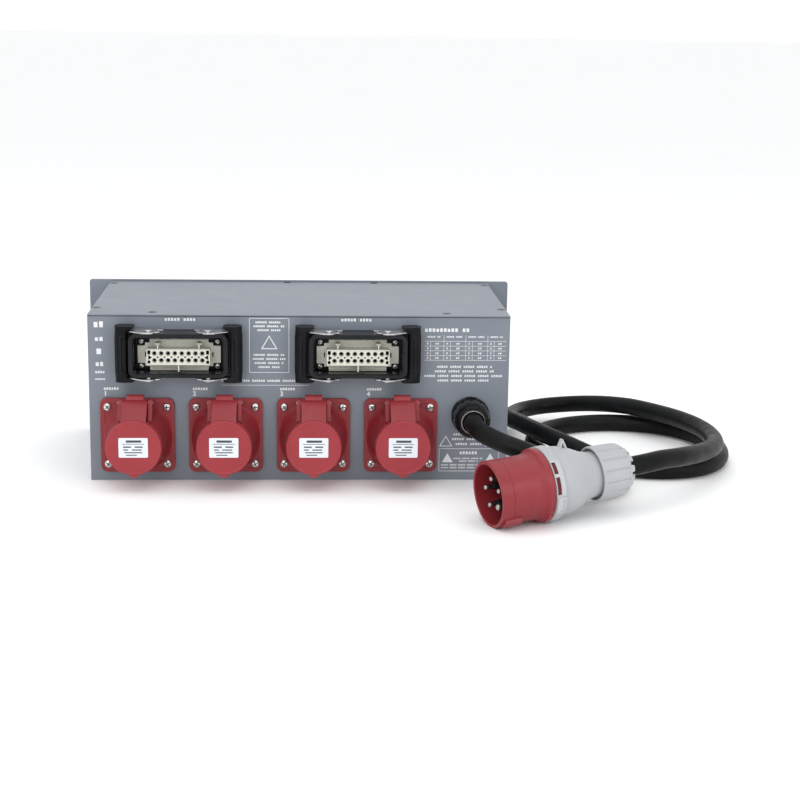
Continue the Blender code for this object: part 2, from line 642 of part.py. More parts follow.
def smooth_path(points, step):
    """Points a step apart along a centripetal Catmull-Rom curve through the given points."""
    ends = [2 * points[0] - points[1]] + points + [2 * points[-1] - points[-2]]
    fine = []
    for p0, p1, p2, p3 in zip(ends, ends[1:], ends[2:], ends[3:]):
        t1 = (p1 - p0).length ** 0.5
        t2 = t1 + (p2 - p1).length ** 0.5
        t3 = t2 + (p3 - p2).length ** 0.5
        for k in range(16):
            t = t1 + (t2 - t1) * k / 16
            a1 = p0.lerp(p1, t / t1)
            a2 = p1.lerp(p2, (t - t1) / (t2 - t1))
            a3 = p2.lerp(p3, (t - t2) / (t3 - t2))
            b1 = a1.lerp(a2, t / t2)
            b2 = a2.lerp(a3, (t - t1) / (t3 - t1))
            fine.append(b1.lerp(b2, (t - t1) / (t2 - t1)))
    fine.append(points[-1])
    lengths = [0.0]
    for a, b in zip(fine, fine[1:]):
        lengths.append(lengths[-1] + (b - a).length)
    count = round(lengths[-1] / step)
    path, j = [], 0
    for k in range(count + 1):
        want = lengths[-1] * k / count
        while j < len(fine) - 2 and lengths[j + 1] < want:
            j += 1
        span = lengths[j + 1] - lengths[j]
        path.append(fine[j].lerp(fine[j + 1], (want - lengths[j]) / span))
    return path


def power_cable():
    route = [Vector(p) * MM for p in CABLE_ROUTE]
    path = smooth_path(route, CABLE_STEP)
    curve = bpy.data.curves.new("power_cable", "CURVE")
    curve.dimensions = "3D"
    curve.bevel_depth = CABLE_D / 2
    curve.bevel_resolution = 3
    curve.use_fill_caps = True
    spline = curve.splines.new("POLY")
    spline.points.add(len(path) - 1)
    for point, co in zip(spline.points, path):
        point.co = (*co, 1)
    curve.materials.append(material("power_cable", RUBBER))
    obj = bpy.data.objects.new("power_cable", curve)
    PARTS.objects.link(obj)


def plug_frame():
    """Plug pieces are drawn along +Z towards the mouth, with +Y up as the plug lies."""
    z = PLUG_AXIS
    x = Vector((0, 0, 1)).cross(z).normalized()
    y = z.cross(x)
    turn = Matrix((x, y, z)).transposed().to_4x4()
    return Matrix.Translation(PLUG_FLANGE) @ turn @ Matrix.Rotation(PLUG_ROLL, 4, "Z")


def plug():
    place = plug_frame()
    bore = SHROUD_R - SHROUD_WALL
    front = 2 * MM
    back = front - PLUG_FLANGE_T
    shroud = turned([(bore, SHROUD_L), (SHROUD_R, SHROUD_L), (SHROUD_R, front), (PLUG_FLANGE_R, front),
                     (PLUG_FLANGE_R, back), (bore, back)], PLUG_SIDES)
    key = box((10 * MM, 6 * MM, 18 * MM), (0, -SHROUD_R, SHROUD_L - 13 * MM))
    key = cut(key, rod(bore, 2 * SHROUD_L, "Z", (0, 0, SHROUD_L), PLUG_SIDES))
    add("plug_shroud", union(shroud, key), RED_PLASTIC, place)

    floor = 12 * MM
    carrier_back = back + 0.5 * MM
    carrier = turned([(0, floor), (bore - GAP, floor), (bore - GAP, carrier_back), (0, carrier_back)],
                     PLUG_SIDES)
    places = contact_places(PIN_RING_R)
    radii = [EARTH_PIN_R] + [PIN_R] * (len(places) - 1)
    holes = [rod(r + GAP, 4 * floor, "Z", (x, y, 0)) for (x, y), r in zip(places, radii)]
    add("plug_pin_carrier", cut(carrier, *holes), DARK_RED, place)
    names = ["plug_earth_pin"] + [f"plug_pin_{k}" for k in range(1, len(places))]
    for name, (x, y), r in zip(names, places, radii):
        pin = turned([(0, PIN_TIP), (0.6 * r, PIN_TIP), (r, PIN_TIP - 1.5 * MM), (r, back + 1 * MM),
                      (0, back + 1 * MM)], SMALL_ROUND)
        add(name, shift(pin, x, y), STEEL, place)

    neck_r = 21.5 * MM
    bore_r = CABLE_D / 2 + 1.5 * MM
    face = back - GAP
    end = 6 * MM - PLUG_NUT_BACK
    housing = turned([(bore, face), (35.4 * MM, face), (35.4 * MM, -14 * MM), (33 * MM, -15 * MM),
                      (33 * MM, -20 * MM), (31.5 * MM, -32 * MM), (25 * MM, -52 * MM),
                      (neck_r, -60 * MM), (neck_r, end), (bore_r, end), (bore_r, -60 * MM)], PLUG_SIDES)
    lug = sideways(plate([(out * MM, up * MM) for out, up in PLUG_LUG], 4 * MM))
    lug = moved(lug, Matrix.Rotation(-PLUG_ROLL, 4, "Z"))
    add("plug_housing", union(housing, lug), LIGHT_GREY, place)

    nut_bore = neck_r + 0.4 * MM
    lip_r = CABLE_D / 2 + 0.6 * MM
    nut_end = GAP - PLUG_NUT_BACK
    nut = turned([(nut_bore, -PLUG_NUT_FRONT), (PLUG_NUT_R - 0.8 * MM, -PLUG_NUT_FRONT),
                  (PLUG_NUT_R, -PLUG_NUT_FRONT - 1.5 * MM), (PLUG_NUT_R - 2 * MM, nut_end + 8.7 * MM),
                  (20.5 * MM, nut_end + 2.2 * MM), (20.5 * MM, nut_end), (lip_r, nut_end),
                  (lip_r, nut_end + 3.7 * MM), (nut_bore, nut_end + 5.3 * MM)], GLAND_SIDES)
    add("plug_clamp_nut", nut, LIGHT_GREY, place)


# ---------------------------------------------------------------- breakers, lamps, terminals

def breakers():
    """A row of breakers clipped to a rail, noses through the panel, one toggle bar each."""
    nose_y = PANEL_BACK_Y + PANEL_T + BREAKER_NOSE_OUT
    body_y = PANEL_BACK_Y - 2 * MM
    nose_root = body_y - 10 * MM
    for name, x0, poles in breaker_spans():
        width = poles * POLE_W - GAP
        cx = x0 + poles * POLE_W / 2
        body = box((width, BREAKER_DEPTH, BREAKER_H), (cx, body_y - BREAKER_DEPTH / 2, WINDOW_Z))
        nose = box((width, nose_y - nose_root, WINDOW_H - 1 * MM), (cx, (nose_y + nose_root) / 2, WINDOW_Z))
        rail_slot = box((width + 4 * MM, 5 * MM, RAIL_H + 1 * MM), (cx, body_y - BREAKER_DEPTH, WINDOW_Z))
        toggle_w = TOGGLE_SHARE * poles * POLE_W
        point = Vector((cx, nose_y - TOGGLE_BACK, WINDOW_Z))
        bay = rod(TOGGLE_R + 0.5 * MM, toggle_w + 1 * MM, "X", point)
        add(f"{name}_body", cut(union(body, nose), rail_slot, bay), LIGHT_GREY)
        hub = rod(TOGGLE_R, toggle_w, "X")
        paddle = box((toggle_w - 2 * MM, 13 * MM, 5 * MM), (0, 9 * MM, 3.2 * MM), 0.6 * MM)
        toggle = moved(union(hub, paddle), Matrix.Rotation(TOGGLE_ON, 4, "X"))
        add(f"{name}_toggle", toggle, BLACK_PLASTIC, Matrix.Translation(point))
    rail_y = body_y - BREAKER_DEPTH - GAP
    width = (MAIN_POLES + MOTOR_BREAKERS * MOTOR_POLES) * POLE_W + 2 * RAIL_END
    cx = BREAKER_X0 + width / 2 - RAIL_END
    low = SHEET + GAP
    high = WINDOW_Z + 12.5 * MM
    rail = box((width, 1 * MM, RAIL_H), (cx, rail_y + 2 * MM, WINDOW_Z))
    web = box((width, 7.5 * MM, 25 * MM), (cx, rail_y - 2 * MM, WINDOW_Z))
    stand = box((24 * MM, 12 * MM, high - low), (cx, rail_y - 8 * MM, (high + low) / 2))
    add("din_rail", union(rail, web, stand), STEEL)


def lamps():
    """Round indicator lamps beside the breaker window."""
    flat = 2.4 * MM
    for n, z in enumerate(LAMP_ZS, 1):
        lens = turned([(0, LAMP_R), (3 * MM, 5.6 * MM), (5.4 * MM, 3.4 * MM), (7.5 * MM, flat),
                       (7.8 * MM, GAP), (LAMP_R, GAP), (LAMP_R, -LAMP_DEPTH), (0, -LAMP_DEPTH)], SMALL_ROUND)
        lens = moved(lens, Matrix.Rotation(-pi / 2, 4, "X"))
        add(f"phase_lamp_{n}", lens, DARK_RED, Matrix.Translation((LAMP_X, PANEL_BACK_Y + PANEL_T, z)))


def terminal_block():
    """Five-way incoming terminal block on the floor of the case."""
    x, y = TERMINAL_PLACE
    floor = SHEET + GAP
    base = box((60 * MM, 32 * MM, 12 * MM), (x, y, floor + 6 * MM))
    ways = [box((9.5 * MM, 20 * MM, 24 * MM), (x + (k - 2) * 11 * MM, y, floor + 20 * MM))
            for k in range(5)]
    add("incoming_terminal_block", union(base, *ways), LIGHT_GREY)


clear_scene()
chassis_tray()
top_cover()
rear_panel()
front_panel()
sockets()
connectors()
gland()
power_cable()
plug()
breakers()
lamps()
terminal_block()
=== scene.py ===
"""Looks of the rack-width power distribution box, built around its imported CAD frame."""
import bpy
import bmesh
from math import cos, pi, radians, sin
from mathutils import Matrix, Vector


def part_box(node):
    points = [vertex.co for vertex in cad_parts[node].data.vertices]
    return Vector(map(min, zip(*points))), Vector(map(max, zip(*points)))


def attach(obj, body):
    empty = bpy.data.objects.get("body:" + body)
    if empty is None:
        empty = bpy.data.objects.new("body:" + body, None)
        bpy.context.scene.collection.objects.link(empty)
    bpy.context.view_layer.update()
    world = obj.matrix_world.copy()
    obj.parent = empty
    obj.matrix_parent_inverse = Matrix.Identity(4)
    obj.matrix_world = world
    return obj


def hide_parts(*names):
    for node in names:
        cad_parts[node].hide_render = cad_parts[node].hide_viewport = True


MM = 0.001
ROOT = "box"

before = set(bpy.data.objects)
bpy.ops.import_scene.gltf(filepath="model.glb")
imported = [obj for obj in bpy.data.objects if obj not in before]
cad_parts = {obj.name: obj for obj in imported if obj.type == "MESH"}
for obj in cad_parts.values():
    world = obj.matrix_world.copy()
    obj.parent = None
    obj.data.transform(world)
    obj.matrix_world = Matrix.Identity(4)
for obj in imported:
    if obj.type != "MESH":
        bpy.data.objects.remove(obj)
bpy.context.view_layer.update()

REAR_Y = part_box("rear_panel")[0][1]
PANEL_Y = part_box("front_panel")[1][1]
CASE_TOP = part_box("top_cover")[1][2]
HALF_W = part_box("top_cover")[1][0]
QUARTER = Matrix.Rotation(pi / 2, 4, "X")


# ---------------------------------------------------------------- meshes, drawn in millimetres

def shift(x=0.0, y=0.0, z=0.0):
    return Matrix.Translation((x * MM, y * MM, z * MM))


def mesh_from(bm):
    mesh = bpy.data.meshes.new("shape")
    bmesh.ops.recalc_face_normals(bm, faces=bm.faces[:])
    bm.to_mesh(mesh)
    bm.free()
    return mesh


def skin(rings, loop=False, caps=True):
    """Faces between rings of points; a ring of one point closes to a tip."""
    bm = bmesh.new()
    rows = [[bm.verts.new([c * MM for c in p]) for p in ring] for ring in rings]
    pairs = list(zip(rows, rows[1:])) + ([(rows[-1], rows[0])] if loop else [])
    for low, high in pairs:
        count = max(len(low), len(high))
        for k in range(count):
            j = (k + 1) % count
            corners = [low[k % len(low)], low[j % len(low)], high[j % len(high)], high[k % len(high)]]
            corners = [v for i, v in enumerate(corners) if v not in corners[:i]]
            if len(corners) > 2:
                bm.faces.new(corners)
    if caps and not loop:
        for row in (rows[0], rows[-1]):
            if len(row) > 2:
                bm.faces.new(row)
    return mesh_from(bm)


def lathe(profile, sides=72, loop=False, shape=None):
    """Turn (radius, height) points about Z; shape(angle, radius, height) may change a radius."""
    rings = []
    for r, h in profile:
        if r < 1e-6:
            rings.append([(0, 0, h)])
            continue
        ring = []
        for k in range(sides):
            a = 2 * pi * k / sides
            rr = shape(a, r, h) if shape else r
            ring.append((rr * cos(a), rr * sin(a), h))
        rings.append(ring)
    return skin(rings, loop, caps=not loop)


def softened(points, radius, steps=3, closed=False):
    """Round the corners of a 2D line by up to a radius."""
    out = []
    count = len(points)
    for i, p in enumerate(points):
        if not closed and i in (0, count - 1):
            out.append(tuple(p))
            continue
        p = Vector(p)
        a = Vector(points[i - 1]) - p
        b = Vector(points[(i + 1) % count]) - p
        reach = min(radius, a.length * 0.45, b.length * 0.45)
        start = p + a.normalized() * reach
        end = p + b.normalized() * reach
        for k in range(steps + 1):
            t = k / steps
            out.append(tuple(start * (1 - t) ** 2 + p * 2 * t * (1 - t) + end * t * t))
    return out


def turned(points, radius, steps, sides, shape=None):
    """A ring turned from a closed outline with softened corners."""
    return lathe(softened(points, radius, steps, closed=True), sides, loop=True, shape=shape)


def prism(outline, low, high):
    """A plate with a given outline from height low to height high."""
    return skin([[(x, y, low) for x, y in outline], [(x, y, high) for x, y in outline]])


def plate(points, radius, low, high, steps=3):
    """A plate whose outline has softened corners."""
    return prism(softened(points, radius, steps, closed=True), low, high)


def round_plate(width, height, radius, low, high, x=0.0, y=0.0):
    return prism(round_rect(width, height, radius, x, y), low, high)


def round_rect(width, height, radius, x=0.0, y=0.0):
    points = []
    for sx, sy, start in ((1, 1, 0), (-1, 1, 90), (-1, -1, 180), (1, -1, 270)):
        for k in range(7):
            a = radians(start + 15 * k)
            points.append((x + sx * (width / 2 - radius) + radius * cos(a),
                           y + sy * (height / 2 - radius) + radius * sin(a)))
    return points


def block(size, centre=(0, 0, 0)):
    bm = bmesh.new()
    scale = Matrix.Diagonal((*[s * MM for s in size], 1))
    bmesh.ops.create_cube(bm, size=1, matrix=shift(*centre) @ scale)
    return mesh_from(bm)


def rod(radius, length, centre=(0, 0, 0), axis="Z", sides=32, chamfer=0.0):
    """A round bar centred on a point, with its ends chamfered."""
    half = length / 2
    c = chamfer
    profile = [(0, half), (radius - c, half), (radius, half - c), (radius, c - half),
               (radius - c, -half), (0, -half)]
    if not c:
        profile = [(0, half), (radius, half), (radius, -half), (0, -half)]
    turn = {"X": Matrix.Rotation(pi / 2, 4, "Y"), "Y": Matrix.Rotation(-pi / 2, 4, "X"),
            "Z": Matrix()}[axis]
    return placed(lathe(profile, sides), shift(*centre) @ turn)


def placed(mesh, matrix):
    mesh.transform(matrix)
    if matrix.determinant() < 0:
        mesh.flip_normals()
    return mesh


def moved(mesh, x=0.0, y=0.0, z=0.0):
    return placed(mesh, shift(x, y, z))


def merged(*meshes):
    bm = bmesh.new()
    for mesh in meshes:
        bm.from_mesh(mesh)
    mesh = bpy.data.meshes.new("merged")
    bm.to_mesh(mesh)
    bm.free()
    return mesh


def evaluated(obj):
    bpy.context.view_layer.update()
    graph = bpy.context.evaluated_depsgraph_get()
    mesh = bpy.data.meshes.new_from_object(obj.evaluated_get(graph))
    bpy.data.objects.remove(obj)
    return mesh


def linked(name, data):
    obj = bpy.data.objects.new(name, data)
    bpy.context.scene.collection.objects.link(obj)
    return obj


def boolean(base, operation, *tools):
    """Cut or join a mesh with others, each by its own exact Boolean."""
    body = linked("body", base)
    helpers = []
    for mesh in tools:
        tool = linked("tool", mesh)
        helpers.append(tool)
        step = body.modifiers.new("Boolean", "BOOLEAN")
        step.operation = operation
        step.object = tool
        step.solver = "EXACT"
    mesh = evaluated(body)
    for tool in helpers:
        bpy.data.objects.remove(tool)
    return mesh


def cut(base, *tools):
    return boolean(base, "DIFFERENCE", *tools)


def fused(base, *tools):
    return boolean(base, "UNION", *tools)


def sideways(mesh):
    """Turn a plate drawn as (out, up) into (x, up, out), its thickness along X."""
    return placed(mesh, Matrix(((0, 0, 1, 0), (0, 1, 0, 0), (1, 0, 0, 0), (0, 0, 0, 1))))


def on_rear(x, z):
    """From (right, up, out of the socket side) at a point of the socket side to the world."""
    return Matrix.Translation((x, REAR_Y, z)) @ QUARTER


def on_front(x, z):
    """The same on the rack panel's face, as seen from in front of it."""
    return Matrix.Translation((x, PANEL_Y, z)) @ Matrix.Rotation(pi, 4, "Z") @ QUARTER


# ---------------------------------------------------------------- pieces

SLOTS = {}
SHARP = radians(32)


def piece(name, mesh, mat, body=ROOT, place=None, hides=(), bevel=0.0, segments=2, slot=None):
    """Put a mesh in the scene as one piece that rides on a body, its bevel in millimetres."""
    if place is not None:
        placed(mesh, place)
    mesh.materials.clear()
    mesh.materials.append(mat)
    mesh.shade_smooth()
    obj = linked(name, mesh)
    if bevel:
        edge = obj.modifiers.new("Bevel", "BEVEL")
        edge.width = bevel * MM
        edge.segments = segments
        edge.limit_method = "ANGLE"
        edge.angle_limit = SHARP
        edge.use_clamp_overlap = True
        normals = obj.modifiers.new("WeightedNormal", "WEIGHTED_NORMAL")
        normals.keep_sharp = True
    else:
        mesh.set_sharp_from_angle(angle=SHARP)
    slot = slot or SLOTS[mat.name]
    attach(obj, body)
    if hides:
        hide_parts(*hides)
    return obj


# ---------------------------------------------------------------- materials

def noise(tree, scale, detail, stretch=None):
    coords = tree.nodes.new("ShaderNodeTexCoord")
    texture = tree.nodes.new("ShaderNodeTexNoise")
    texture.inputs["Scale"].default_value = scale
    texture.inputs["Detail"].default_value = detail
    texture.inputs["Roughness"].default_value = 0.55
    source = coords.outputs["Object"]
    if stretch is not None:
        mapping = tree.nodes.new("ShaderNodeMapping")
        mapping.inputs["Scale"].default_value = stretch
        tree.links.new(source, mapping.inputs["Vector"])
        source = mapping.outputs["Vector"]
    tree.links.new(source, texture.inputs["Vector"])
    return texture.outputs["Fac"]


def ramp(tree, source, low, high, first, last):
    node = tree.nodes.new("ShaderNodeValToRGB")
    node.color_ramp.elements[0].position = low
    node.color_ramp.elements[0].color = first
    node.color_ramp.elements[1].position = high
    node.color_ramp.elements[1].color = last
    tree.links.new(source, node.inputs["Fac"])
    return node.outputs["Color"]


def mixed(tree, share, first, last):
    node = tree.nodes.new("ShaderNodeMix")
    node.data_type = "RGBA"
    tree.links.new(share, node.inputs["Factor"])
    tree.links.new(first, node.inputs["A"])
    node.inputs["B"].default_value = last
    return node.outputs["Result"]


def worn_edges(tree, share, sheet):
    """Where an edge wears: by its rounded normal on folded sheet, by pointiness elsewhere."""
    geometry = tree.nodes.new("ShaderNodeNewGeometry")
    worn = (share, share, share, 1)
    if not sheet:
        return ramp(tree, geometry.outputs["Pointiness"], 0.515, 0.60, (0, 0, 0, 1), worn)
    rounded = tree.nodes.new("ShaderNodeBevel")
    rounded.samples = 4
    rounded.inputs["Radius"].default_value = 1.2 * MM
    turn = tree.nodes.new("ShaderNodeVectorMath")
    turn.operation = "DOT_PRODUCT"
    tree.links.new(rounded.outputs["Normal"], turn.inputs[0])
    tree.links.new(geometry.outputs["Normal"], turn.inputs[1])
    return ramp(tree, turn.outputs["Value"], 0.80, 0.985, worn, (0, 0, 0, 1))


def surface(name, slot, colour, rough, metallic=0.0, mottle=0.05, cloud=14.0, grain=2600.0, bump=0.08,
            wear=None, wear_share=0.25, stretch=None, coat=0.0, rough_play=0.07, dust=0.0, ior=1.5,
            sheet=False):
    """A procedural finish: soft colour clouds, grain in the gloss, fine bump and worn edges."""
    mat = bpy.data.materials.new(name)
    SLOTS[mat.name] = slot
    mat.use_nodes = True
    tree = mat.node_tree
    shader = tree.nodes["Principled BSDF"]
    dark = (*[c * (1 - mottle) for c in colour], 1)
    light = (*[min(1.0, c * (1 + mottle) + 0.004) for c in colour], 1)
    tint = ramp(tree, noise(tree, cloud, 5.0, stretch), 0.35, 0.65, dark, light)
    if dust:
        specks = ramp(tree, noise(tree, 900.0, 2.0), 0.66, 0.74, (0, 0, 0, 1), (dust, dust, dust, 1))
        pale = (*[c * 0.5 + 0.35 for c in colour], 1)
        tint = mixed(tree, specks, tint, pale)
    if wear is not None:
        tint = mixed(tree, worn_edges(tree, wear_share, sheet), tint, (*wear, 1))
    tree.links.new(tint, shader.inputs["Base Color"])
    fine = noise(tree, grain, 3.0, stretch)
    gloss = tree.nodes.new("ShaderNodeMapRange")
    gloss.inputs["From Min"].default_value = 0.3
    gloss.inputs["From Max"].default_value = 0.7
    gloss.inputs["To Min"].default_value = max(0.02, rough - rough_play)
    gloss.inputs["To Max"].default_value = min(1.0, rough + rough_play)
    tree.links.new(noise(tree, cloud * 6, 4.0, stretch), gloss.inputs["Value"])
    tree.links.new(gloss.outputs["Result"], shader.inputs["Roughness"])
    relief = tree.nodes.new("ShaderNodeBump")
    relief.inputs["Strength"].default_value = bump
    relief.inputs["Distance"].default_value = 0.4 * MM
    tree.links.new(fine, relief.inputs["Height"])
    tree.links.new(relief.outputs["Normal"], shader.inputs["Normal"])
    shader.inputs["Metallic"].default_value = metallic
    shader.inputs["IOR"].default_value = ior
    if coat:
        shader.inputs["Coat Weight"].default_value = coat
        shader.inputs["Coat Roughness"].default_value = 0.12
    mat.diffuse_color = (*colour, 1)
    return mat


PAINT = surface("grey_paint", "grey_paint", (0.176, 0.198, 0.235), 0.42, mottle=0.035, cloud=7,
                grain=1500, bump=0.16, wear=(0.30, 0.32, 0.35), wear_share=0.30, dust=0.06,
                rough_play=0.03, sheet=True)
# Painted shade: a darker copy of the case paint for the top cover, toning down the light that falls on
# the top.
SHADED_COVER_PAINT = surface("cover_paint_with_painted_shade", "grey_paint", (0.160, 0.175, 0.213), 0.40, mottle=0.03, cloud=6,
                      grain=1500, bump=0.14, wear=(0.32, 0.34, 0.37), wear_share=0.30, dust=0.06,
                      rough_play=0.02, sheet=True)
RED = surface("red_plastic", "red_plastic", (0.224, 0.0165, 0.0225), 0.40, cloud=22, grain=2400,
              bump=0.10, wear=(0.42, 0.07, 0.08), wear_share=0.22, ior=1.42)
# Painted light: a lighter copy of the housing's red plastic for the lid cap, standing in for the stronger
# light on the cap.
LIT_LID_RED = surface("lid_red_with_painted_light", "red_plastic", (0.288, 0.0235, 0.032), 0.43, mottle=0.045,
                  cloud=24, grain=2400, bump=0.12, wear=(0.48, 0.09, 0.10), wear_share=0.20, ior=1.42)
# Partly painted shade: the carriers' dark red plastic, darkened further to stand in for the shade deep in
# the plug's cavity, its windows and the socket mouths.
SHADED_DARK_RED = surface("dark_red_plastic", "dark_red_plastic", (0.095, 0.007, 0.010), 0.50,
                     mottle=0.08, cloud=30, bump=0.10, ior=1.35)
BLACK_SHELL = surface("black_powder_paint", "black_paint", (0.006, 0.007, 0.009), 0.24, mottle=0.20,
                      cloud=30, grain=1400, bump=0.16, wear=(0.06, 0.06, 0.07), wear_share=0.30,
                      ior=1.27, rough_play=0.05)
BLACK_GRIP = surface("black_grip_plastic", "black_plastic", (0.0042, 0.0046, 0.0062), 0.40,
                     mottle=0.18, cloud=40, grain=2200, bump=0.10, wear=(0.03, 0.03, 0.033), ior=1.22)
BLACK_GLOSS = surface("black_gland_nylon", "black_plastic", (0.004, 0.0043, 0.0047), 0.13,
                      mottle=0.10, cloud=12, bump=0.01, rough_play=0.02, ior=1.20)
RUBBER = surface("cable_rubber", "rubber", (0.0040, 0.0044, 0.0048), 0.42, mottle=0.18, cloud=16,
                 grain=1700, bump=0.12, rough_play=0.08, ior=1.21)
SEAL = surface("seal_rubber", "rubber", (0.006, 0.006, 0.006), 0.65, mottle=0.2, cloud=40, bump=0.2,
               ior=1.25)
IVORY = surface("ivory_insert", "ivory_plastic", (0.585, 0.578, 0.505), 0.44, cloud=45, grain=3000,
                wear=(0.66, 0.65, 0.58))
GREY_PLASTIC = surface("light_grey_plastic", "light_grey_plastic", (0.362, 0.375, 0.390), 0.42,
                       mottle=0.035, cloud=20, grain=2300, bump=0.10, wear=(0.62, 0.64, 0.65),
                       wear_share=0.22)
BREAKER_GREY = surface("breaker_plastic", "light_grey_plastic", (0.40, 0.405, 0.40), 0.50,
                       mottle=0.03, cloud=24, grain=1800, bump=0.16)
STAINLESS = surface("stainless_spring_steel", "steel", (0.50, 0.505, 0.51), 0.34, metallic=1.0,
                    mottle=0.07, cloud=60, grain=900, bump=0.10, stretch=(14, 1, 1), rough_play=0.10)
ZINC = surface("zinc_plated_steel", "steel", (0.66, 0.66, 0.64), 0.30, metallic=1.0, mottle=0.10,
               cloud=240, grain=1500, bump=0.10, rough_play=0.10)
DARK_STEEL = surface("blackened_steel", "steel", (0.050, 0.051, 0.054), 0.34, metallic=0.8,
                     mottle=0.2, cloud=200, grain=1500, bump=0.12)
BRIGHT = surface("plated_contact_metal", "steel", (0.42, 0.41, 0.39), 0.28, metallic=1.0,
                 mottle=0.08, cloud=300, grain=1500, bump=0.05, rough_play=0.06)
# Painted shade: flat black for the floors of cross recesses, wells and holes; the breakers' dark pole
# joints use it too.
SHADE_AND_JOINT_BLACK = surface("painted_shade_and_joint_black", "black_plastic", (0.003, 0.003, 0.003), 0.80,
                     mottle=0.3, cloud=60, bump=0.1, ior=1.15)
INK = surface("white_print", "light_grey_plastic", (0.72, 0.73, 0.74), 0.55, mottle=0.04, cloud=90,
              grain=2500, bump=0.10)
LABEL = surface("label_film", "light_grey_plastic", (0.68, 0.72, 0.77), 0.30, mottle=0.02, cloud=60,
                grain=2500, bump=0.03)
LABEL_INK = surface("label_ink", "black_plastic", (0.05, 0.055, 0.07), 0.50, mottle=0.2, cloud=90,
                    bump=0.05)
LAMP_RED = surface("lamp_lens", "dark_red_plastic", (0.50, 0.02, 0.02), 0.12, mottle=0.06, cloud=80,
                   bump=0.03, coat=0.8, rough_play=0.04)


# ---------------------------------------------------------------- camera, light and floor

def camera():
    """Level view from the socket side, a little above and to the left."""
    yaw, pitch, roll = radians(3.569), radians(12.761), radians(0.907)
    ahead = Vector((sin(yaw) * cos(pitch), cos(yaw) * cos(pitch), -sin(pitch)))
    right = Vector((cos(yaw), -sin(yaw), 0))
    up = right.cross(ahead)
    x = right * cos(roll) + up * sin(roll)
    y = up * cos(roll) - right * sin(roll)
    data = bpy.data.cameras.new("camera")
    data.lens = 74.9
    data.sensor_width = 36
    data.clip_start = 0.05
    obj = linked("camera", data)
    obj.matrix_world = Matrix.Translation((-0.0015, -1.8010, 0.4691)) @ \
        Matrix((x, y, -ahead)).transposed().to_4x4()
    bpy.context.scene.camera = obj


def area_light(name, place, target, size, power):
    data = bpy.data.lights.new(name, "AREA")
    data.shape = "SQUARE"
    data.size = size
    data.energy = power
    obj = linked(name, data)
    obj.location = place
    obj.rotation_euler = (Vector(target) - Vector(place)).to_track_quat("-Z", "Y").to_euler()


def studio():
    world = bpy.data.worlds.new("studio")
    world.use_nodes = True
    background = world.node_tree.nodes["Background"]
    background.inputs["Color"].default_value = (0.985, 0.992, 1.0, 1)
    background.inputs["Strength"].default_value = 1.03
    bpy.context.scene.world = world
    bpy.context.scene.view_settings.view_transform = "Standard"
    area_light("overhead", (0.10, -0.35, 2.2), (0.1, 0.0, 0.05), 2.0, 11)
    area_light("front_left", (-0.9, -2.5, 1.35), (0.0, -0.1, 0.08), 1.1, 14)
    area_light("front_right", (1.6, -2.2, 1.2), (0.15, -0.1, 0.05), 1.2, 12)
    bm = bmesh.new()
    bmesh.ops.create_circle(bm, cap_ends=True, segments=64, radius=60)
    floor = linked("floor", mesh_from(bm))
    floor.data.materials.append(surface("studio_floor", None, (0.94, 0.94, 0.94), 0.80,
                                        mottle=0.004, cloud=3, grain=300, bump=0.01))


# ---------------------------------------------------------------- cable and plug

CABLE_D = 19.5 * MM
CABLE_ROUTE = (
    (177.5, -147.3, 70), (178, -161, 69.3), (184, -181, 67), (202, -200, 62),
    (229, -209.5, 53.5), (258, -209.5, 42), (287, -200, 28.5), (312, -183, 17),
    (328, -159, 10.5), (329, -133, 9.9), (314, -109, 9.9), (291, -87, 9.9), (271, -60, 9.9),
    (262, -27, 9.9), (263, 9, 9.9), (271, 41, 9.9), (289, 71, 9.9), (320, 94, 9.9),
    (361, 104, 9.9), (402, 97, 9.9), (436, 75, 9.9), (458, 41, 9.9), (467, 1, 9.9),
    (464, -40, 9.9), (451, -75, 9.9), (426, -100, 9.9), (396, -110, 9.9), (368, -108, 9.9),
    (342, -99, 11.5), (317, -85, 17.5), (294, -67, 24.5), (274, -45, 29.5), (259, -14, 30.8),
    (248, 26, 29), (244, 57, 25), (246, 84, 22), (253.5, 110, 20), (267, 132, 19),
    (291, 148, 19.5), (322, 147, 22.5), (354, 128, 27.6), (386, 101, 30.8), (413, 69, 31),
    (434, 34, 31), (448, -8, 31), (451, -51, 31.3), (444, -92, 32.8), (427, -130, 36.5),
    (406, -163, 41), (384, -190, 45), (361, -209, 47.3), (340.4, -222, 46.6),
    (321.7, -229, 44.9),
)
PLUG_FLANGE = Vector((0.226, -0.2647, 0.0363))
PLUG_AXIS = Vector((-0.9338, -0.3477, -0.0842)).normalized()
PLUG_ROLL = radians(43)
INTO_GLAND = 8 * MM
INTO_PLUG = 92 * MM


def smooth_path(points):
    """A centripetal Catmull-Rom curve through the points, in seven steps from one to the next."""
    points = [Vector(p) for p in points]
    ends = [2 * points[0] - points[1]] + points + [2 * points[-1] - points[-2]]
    path = []
    for p0, p1, p2, p3 in zip(ends, ends[1:], ends[2:], ends[3:]):
        t1 = (p1 - p0).length ** 0.5
        t2 = t1 + (p2 - p1).length ** 0.5
        t3 = t2 + (p3 - p2).length ** 0.5
        for k in range(7):
            t = t1 + (t2 - t1) * k / 7
            a1 = p0.lerp(p1, t / t1)
            a2 = p1.lerp(p2, (t - t1) / (t2 - t1))
            a3 = p2.lerp(p3, (t - t2) / (t3 - t2))
            b1 = a1.lerp(a2, t / t2)
            b2 = a2.lerp(a3, (t - t1) / (t3 - t1))
            path.append(b1.lerp(b2, (t - t1) / (t2 - t1)))
    return path + [points[-1]]


